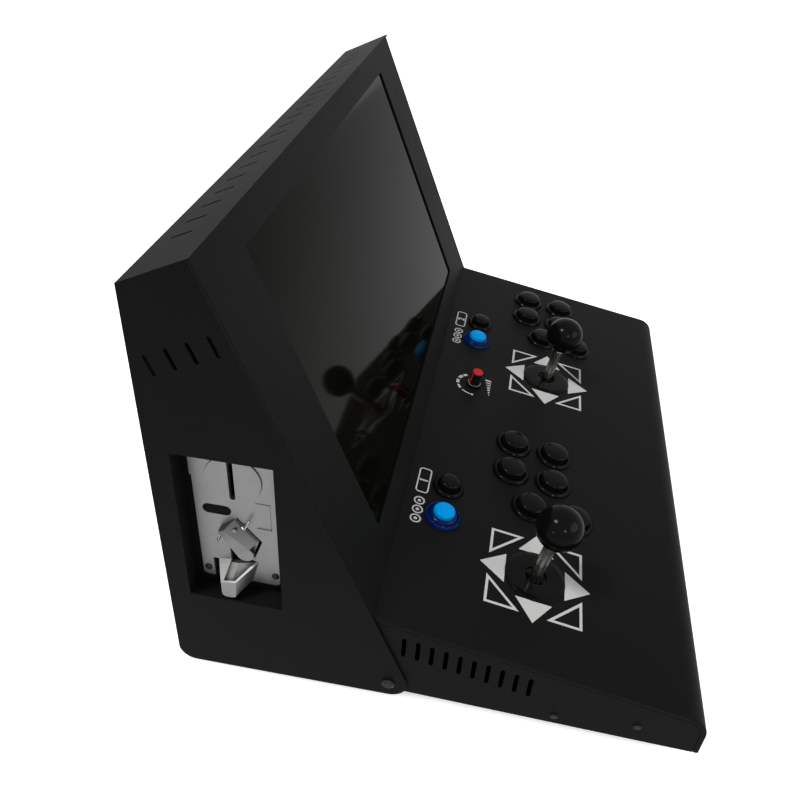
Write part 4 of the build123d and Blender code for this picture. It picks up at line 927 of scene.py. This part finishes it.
class ARCADE_OT_marks(Maker, bpy.types.Operator):
    """White direction marks, volume scale and player numbers printed on the deck"""

    bl_idname = "arcade.marks"
    bl_label = "Printed marks"

    def direction_marks(self, player, ink):
        """Four filled and four outlined triangles round a joystick."""
        s = self.sizes
        place = stick_place(player)
        for quarter in range(4):
            turned = place @ Matrix.Rotation(quarter * pi / 2, 4, "Z")
            arrow = [(s.arrow_base, -s.arrow_half), (s.arrow_tip, 0), (s.arrow_base, s.arrow_half)]
            patch(turned, arrow, s.film, ink)
            corner = [(s.corner_reach, s.corner_reach), (s.corner_leg, s.corner_reach)]
            corner.append((s.corner_reach, s.corner_leg))
            band(turned, corner, inset_triangle(corner, s.corner_line), s.film, ink)

    def volume_scale(self, ink):
        """Dashes that grow round the knob from quiet to loud, and rising bars beside it."""
        s = self.sizes
        place = over_node("volume_knob")[0]
        dashes = (
            (181, 4, 2.3), (158, 17, 1.3), (121, 10, 2.4),
            (91, 10, 3.1), (61, 10, 3.3), (38, 8, 2.9),
        )
        for degrees, half_span, width in dashes:
            inner, outer = s.dial_radius - width * MM / 2, s.dial_radius + width * MM / 2
            steps = [radians(degrees + half_span * (step / 4 - 1)) for step in range(9)]
            points = [(outer * cos(a), outer * sin(a)) for a in steps]
            points += [(inner * cos(a), inner * sin(a)) for a in reversed(steps)]
            patch(place, points, s.film, ink)
        bars, width, gap, drop, aside = 7, 1.9 * MM, 1.9 * MM, 17 * MM, 2.7 * MM
        left = aside - (bars * width + (bars - 1) * gap) / 2
        for index in range(bars):
            x = left + index * (width + gap)
            tall = s.loudness * (index + 1) / bars
            bar = [(x, -drop), (x + width, -drop), (x + width, -drop + tall), (x, -drop + tall)]
            patch(place, bar, s.film, ink)

    def coin_mark(self, place, ink):
        """Three rings round dots, which stand for coins."""
        thickness = self.sizes.film
        radius, dot, line = self.sizes.mark_height * 0.42, 1.5 * MM, 1.3 * MM
        for x in (-2.2 * radius, 0, 2.2 * radius):
            band(place, circle(radius, 32, x), circle(radius - line, 32, x), thickness, ink)
            patch(place, circle(dot, 16, x), thickness, ink)

    def start_mark(self, place, ink):
        """Rounded frame round a player's number."""
        half_height = self.sizes.mark_height / 2
        half_width, bend, line = 1.35 * self.sizes.mark_height, 3.2 * MM, 1.2 * MM
        loops = []
        for shrink in (0, line):
            points = []
            for quarter, (sx, sy) in enumerate(((1, 1), (-1, 1), (-1, -1), (1, -1))):
                for step in range(7):
                    angle = (quarter + step / 6) * pi / 2
                    x = sx * (half_width - bend) + (bend - shrink) * cos(angle)
                    y = sy * (half_height - bend) + (bend - shrink) * sin(angle)
                    points.append((x, y))
            loops.append(points)
        band(place, *loops, self.sizes.film, ink)

    def numeral(self, name, text, place, height):
        """A printed number, as flat filled outlines about its place."""
        size_per_height, boldness = 1.38, 0.055
        curve = bpy.data.curves.new(name, "FONT")
        curve.body = text
        curve.size = height * size_per_height
        curve.align_x, curve.align_y = "CENTER", "CENTER"
        curve.extrude = self.sizes.film / 2
        curve.offset = height * boldness
        holder = bpy.data.objects.new(name, curve)
        mesh = bpy.data.meshes.new_from_object(holder)
        shape = bmesh.new()
        shape.from_mesh(mesh)
        bpy.data.objects.remove(holder)
        bpy.data.meshes.remove(mesh)
        across, along = ([vertex.co[axis] for vertex in shape.verts] for axis in (0, 1))
        x, y = ((min(values) + max(values)) / 2 for values in (across, along))
        shape.transform(place @ Matrix.Translation((-x, -y, self.sizes.film / 2)))
        new_piece(name, shape, "ink", "control_box", smooth=False)

    def execute(self, context):
        s = self.sizes
        ink = bmesh.new()
        above = 20.9 * MM
        for player in PLAYERS:
            self.direction_marks(player, ink)
            start = over_node(f"start_button_{player}")[0] @ Matrix.Translation((0, above, 0))
            self.start_mark(start, ink)
            self.numeral(f"player_number_{player}", str(player), start, s.mark_height * 0.64)
            coin = over_node(f"blue_button_{player}")[0] @ Matrix.Translation((0, above, 0))
            self.coin_mark(coin, ink)
        self.volume_scale(ink)
        new_piece("printed_marks", ink, "ink", "control_box", smooth=False)
        return {"FINISHED"}


class ARCADE_OT_coin_plate(Maker, bpy.types.Operator):
    """Bare label, wire clip and spring hook of the coin plate"""

    bl_idname = "arcade.coin_plate"
    bl_label = "Coin plate"

    def wire(self, place, points, radius, solid):
        """A bent round wire through points, with chamfered ends."""
        path = [Vector(point) for point in points]
        loops, last = [], len(path) - 1
        for index, point in enumerate(path):
            before, after = path[max(index - 1, 0)], path[min(index + 1, last)]
            turned = place_of(point, (0.3, 0.2, 1), after - before)
            reaches = {0: (0.55, 0.9, 1), last: (1, 0.9, 0.55)}.get(index, (1,))
            for reach in reaches:
                push = (1 - reach) * radius * (-1 if index == 0 else 1)
                loops.append(add_loop(solid, place @ turned, circle(reach * radius, 12), push))
        solid.faces.new(loops[0][::-1])
        solid.faces.new(loops[-1])
        join_all(solid, loops)

    def label(self, plate):
        """A bare pill-shaped label with a raised rim, below the coin slot."""
        half_length, half_height = self.sizes.label / 2, self.sizes.label * 0.2
        spot = plate @ Matrix.Translation((-13.1 * MM, 5.3 * MM, 0))
        pill, rim = [], []
        for shrink, outline in ((0.0, rim), (0.5 * MM, pill)):
            bend = half_height - shrink
            for side in (-1, 1):
                for step in range(13):
                    angle = side * pi / 2 + pi * step / 12
                    x = side * (half_height - half_length) + bend * cos(angle)
                    outline.append((-x, -bend * sin(angle)))
        for name, shape in (
            ("label_field", patch(spot, pill, 0.12 * MM)),
            ("label_rim", band(spot, rim, pill, 0.25 * MM)),
        ):
            new_piece(name, shape, "black", "screen_housing", smooth=False)

    def execute(self, context):
        s = self.sizes
        front = (0, -cos(s.plate_lean), sin(s.plate_lean))
        upright = place_of((0, 0, 0), front, (-1, 0, 0))
        low, high = span("coin_plate", upright)
        half_width, half_height = 28.5 * MM, 61 * MM
        middle = Vector((high.x - half_width, high.y - half_height, low.z + s.plate_thickness))
        plate = upright @ Matrix.Translation(middle)
        self.label(plate)

        # Points of each wire in millimetres from the middle of the plate's face, and its radius.
        clip = ((4.3, -5.6, 2.4), (6.2, -6.7, 2.8), (7.2, -5.6, 3.0), (10.8, 3.2, 4.2))
        hook = ((-12.7, -18.6, 0.2), (-13.1, -19.1, 1.1), (-14.6, -23.9, 1.3), (-15.2, -25.0, 0.2))
        wires = bmesh.new()
        for points, radius in ((clip, 0.75), (hook, 0.55)):
            self.wire(plate, [[c * MM for c in point] for point in points], radius * MM, wires)
        new_piece("plate_wires", wires, "nickel", "screen_housing")
        return {"FINISHED"}


class ARCADE_OT_stage(Maker, bpy.types.Operator):
    """Pale floor, soft light and camera"""

    bl_idname = "arcade.stage"
    bl_label = "Stage"

    def background_rays(self, tree):
        """A mask of the camera's rays, and one of rays that a reflection or clear glass sends."""
        ray = tree.nodes.new("ShaderNodeLightPath")
        kinds = ("Camera", "Glossy", "Transmission")
        camera, glossy, through = (Shade(tree, ray.outputs[f"Is {kind} Ray"]) for kind in kinds)
        return camera, glossy.math("MAXIMUM", glossy, through)

    def studio(self):
        """A soft world that the camera and reflections see as plain white."""
        world = bpy.data.worlds.new("studio")
        world.use_nodes = True
        tree = world.node_tree
        tree.nodes.clear()
        soft, white = (
            make_node(tree, "ShaderNodeBackground", {}, {"Color": tint, "Strength": strength})
            for tint, strength in (((0.92, 0.96, 1.0), 0.3), ((1, 1, 1), 1.0))
        )
        camera, mirrored = self.background_rays(tree)
        seen = camera.math("MAXIMUM", camera, mirrored)
        both = make_node(tree, "ShaderNodeMixShader", {}, {0: seen, 1: soft, 2: white})
        make_node(tree, "ShaderNodeOutputWorld", {}, {"Surface": both})
        return world

    def pale_floor(self, rgb):
        """A pale floor that glows for the camera, with a painted contact shadow close under the cabinet."""
        paint = Finish("pale_floor")
        tint = paint.blend(paint.noise(0.4, 3.0), shade(rgb, 0.98), rgb)
        matt = paint.node("ShaderNodeBsdfDiffuse", {}, {"Color": tint})
        camera, mirrored = self.background_rays(paint.tree)
        # Painted shadow: ambient occlusion dims the floor's glow where the cabinet stands close above it.
        shadow_occlusion = paint.node("ShaderNodeAmbientOcclusion", {"samples": 8}, {"Distance": 0.5}, "AO")
        seen, reflected = 0.9, 0.3
        strength = (seen * camera + reflected * mirrored) * shadow_occlusion.ramp((0.1, 0.0), (0.28, 1.0))
        glow = paint.node("ShaderNodeEmission", {}, {"Color": (1, 1, 1), "Strength": strength})
        both = paint.node("ShaderNodeAddShader", {}, {0: matt, 1: glow})
        paint.node("ShaderNodeOutputMaterial", {}, {"Surface": both})
        return paint.material

    def area(self, name, place, target, size, power):
        """A soft oval light that looks at a target."""
        light = bpy.data.lights.new(name, "AREA")
        light.shape = "ELLIPSE"
        light.size, light.size_y = size
        light.energy = power
        lamp = bpy.data.objects.new(name, light)
        lamp.location = place
        lamp.rotation_euler = (Vector(target) - Vector(place)).to_track_quat("-Z", "Y").to_euler()
        bpy.context.scene.collection.objects.link(lamp)

    def execute(self, context):
        stage = context.scene.arcade_stage
        scene = context.scene
        scene.view_settings.view_transform = "Standard"
        scene.world = self.studio()

        floor = bmesh.new()
        bmesh.ops.create_grid(floor, x_segments=1, y_segments=1, size=6)
        mesh = bpy.data.meshes.new("floor")
        floor.to_mesh(mesh)
        floor.free()
        ground = bpy.data.objects.new("floor", mesh)
        scene.collection.objects.link(ground)
        ground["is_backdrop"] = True
        mesh.materials.append(self.pale_floor(tuple(stage.floor)))

        low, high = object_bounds()
        middle = (low + high) / 2
        for name, away, size, power in (
            ("key", (-0.6, 0.75, 1.55), (0.5, 0.34), 20),
            ("front", (-0.5, -1.7, 0.8), (1.5, 1.1), 14),
            ("side", (-1.5, -0.65, 0.85), (0.22, 0.19), 4),
            ("low", (-1.5, 0.75, 0.3), (0.15, 0.1), 0.9),
        ):
            self.area(name, middle + Vector(away), middle, size, power)

        lens = bpy.data.cameras.new("camera")
        lens.lens = stage.lens
        lens.sensor_width = 36
        lens.shift_x, lens.shift_y = stage.shift
        camera = bpy.data.objects.new("camera", lens)
        turn = Euler((pi / 2 - stage.dip, 0, -stage.heading)).to_matrix().to_4x4()
        camera.matrix_world = (
            Matrix.Translation(Vector(stage.place)) @ turn @ Matrix.Rotation(stage.roll, 4, "Z")
        )
        scene.collection.objects.link(camera)
        scene.camera = camera
        return {"FINISHED"}


class ARCADE_PT_panel(bpy.types.Panel):
    """Lists the cabinet's makers and settings"""

    bl_idname = "ARCADE_PT_panel"
    bl_label = "Arcade cabinet"
    bl_space_type = "VIEW_3D"
    bl_region_type = "UI"
    bl_category = "Arcade"

    def draw(self, context):
        for settings in ("arcade_colours", "arcade_sizes", "arcade_stage"):
            group = getattr(context.scene, settings)
            for name in group.__annotations__:
                self.layout.prop(group, name)
        for maker in MAKERS:
            self.layout.operator(maker.bl_idname)


MAKERS = (
    ARCADE_OT_finishes,
    ARCADE_OT_joysticks,
    ARCADE_OT_buttons,
    ARCADE_OT_volume,
    ARCADE_OT_marks,
    ARCADE_OT_coin_plate,
    ARCADE_OT_stage,
)
GROUPS = {"arcade_colours": ArcadeColours, "arcade_sizes": ArcadeSizes, "arcade_stage": ArcadeStage}


def register():
    for name, group in GROUPS.items():
        bpy.utils.register_class(group)
        setattr(bpy.types.Scene, name, PointerProperty(type=group))
    for item in (*MAKERS, ARCADE_PT_panel):
        bpy.utils.register_class(item)


def unregister():
    for item in (ARCADE_PT_panel, *reversed(MAKERS)):
        bpy.utils.unregister_class(item)
    for name, group in GROUPS.items():
        delattr(bpy.types.Scene, name)
        bpy.utils.unregister_class(group)


def main():
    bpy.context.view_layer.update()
    register()
    for maker in MAKERS:
        family, name = maker.bl_idname.split(".")
        getattr(getattr(bpy.ops, family), name)()


if __name__ == "__main__":
    main()
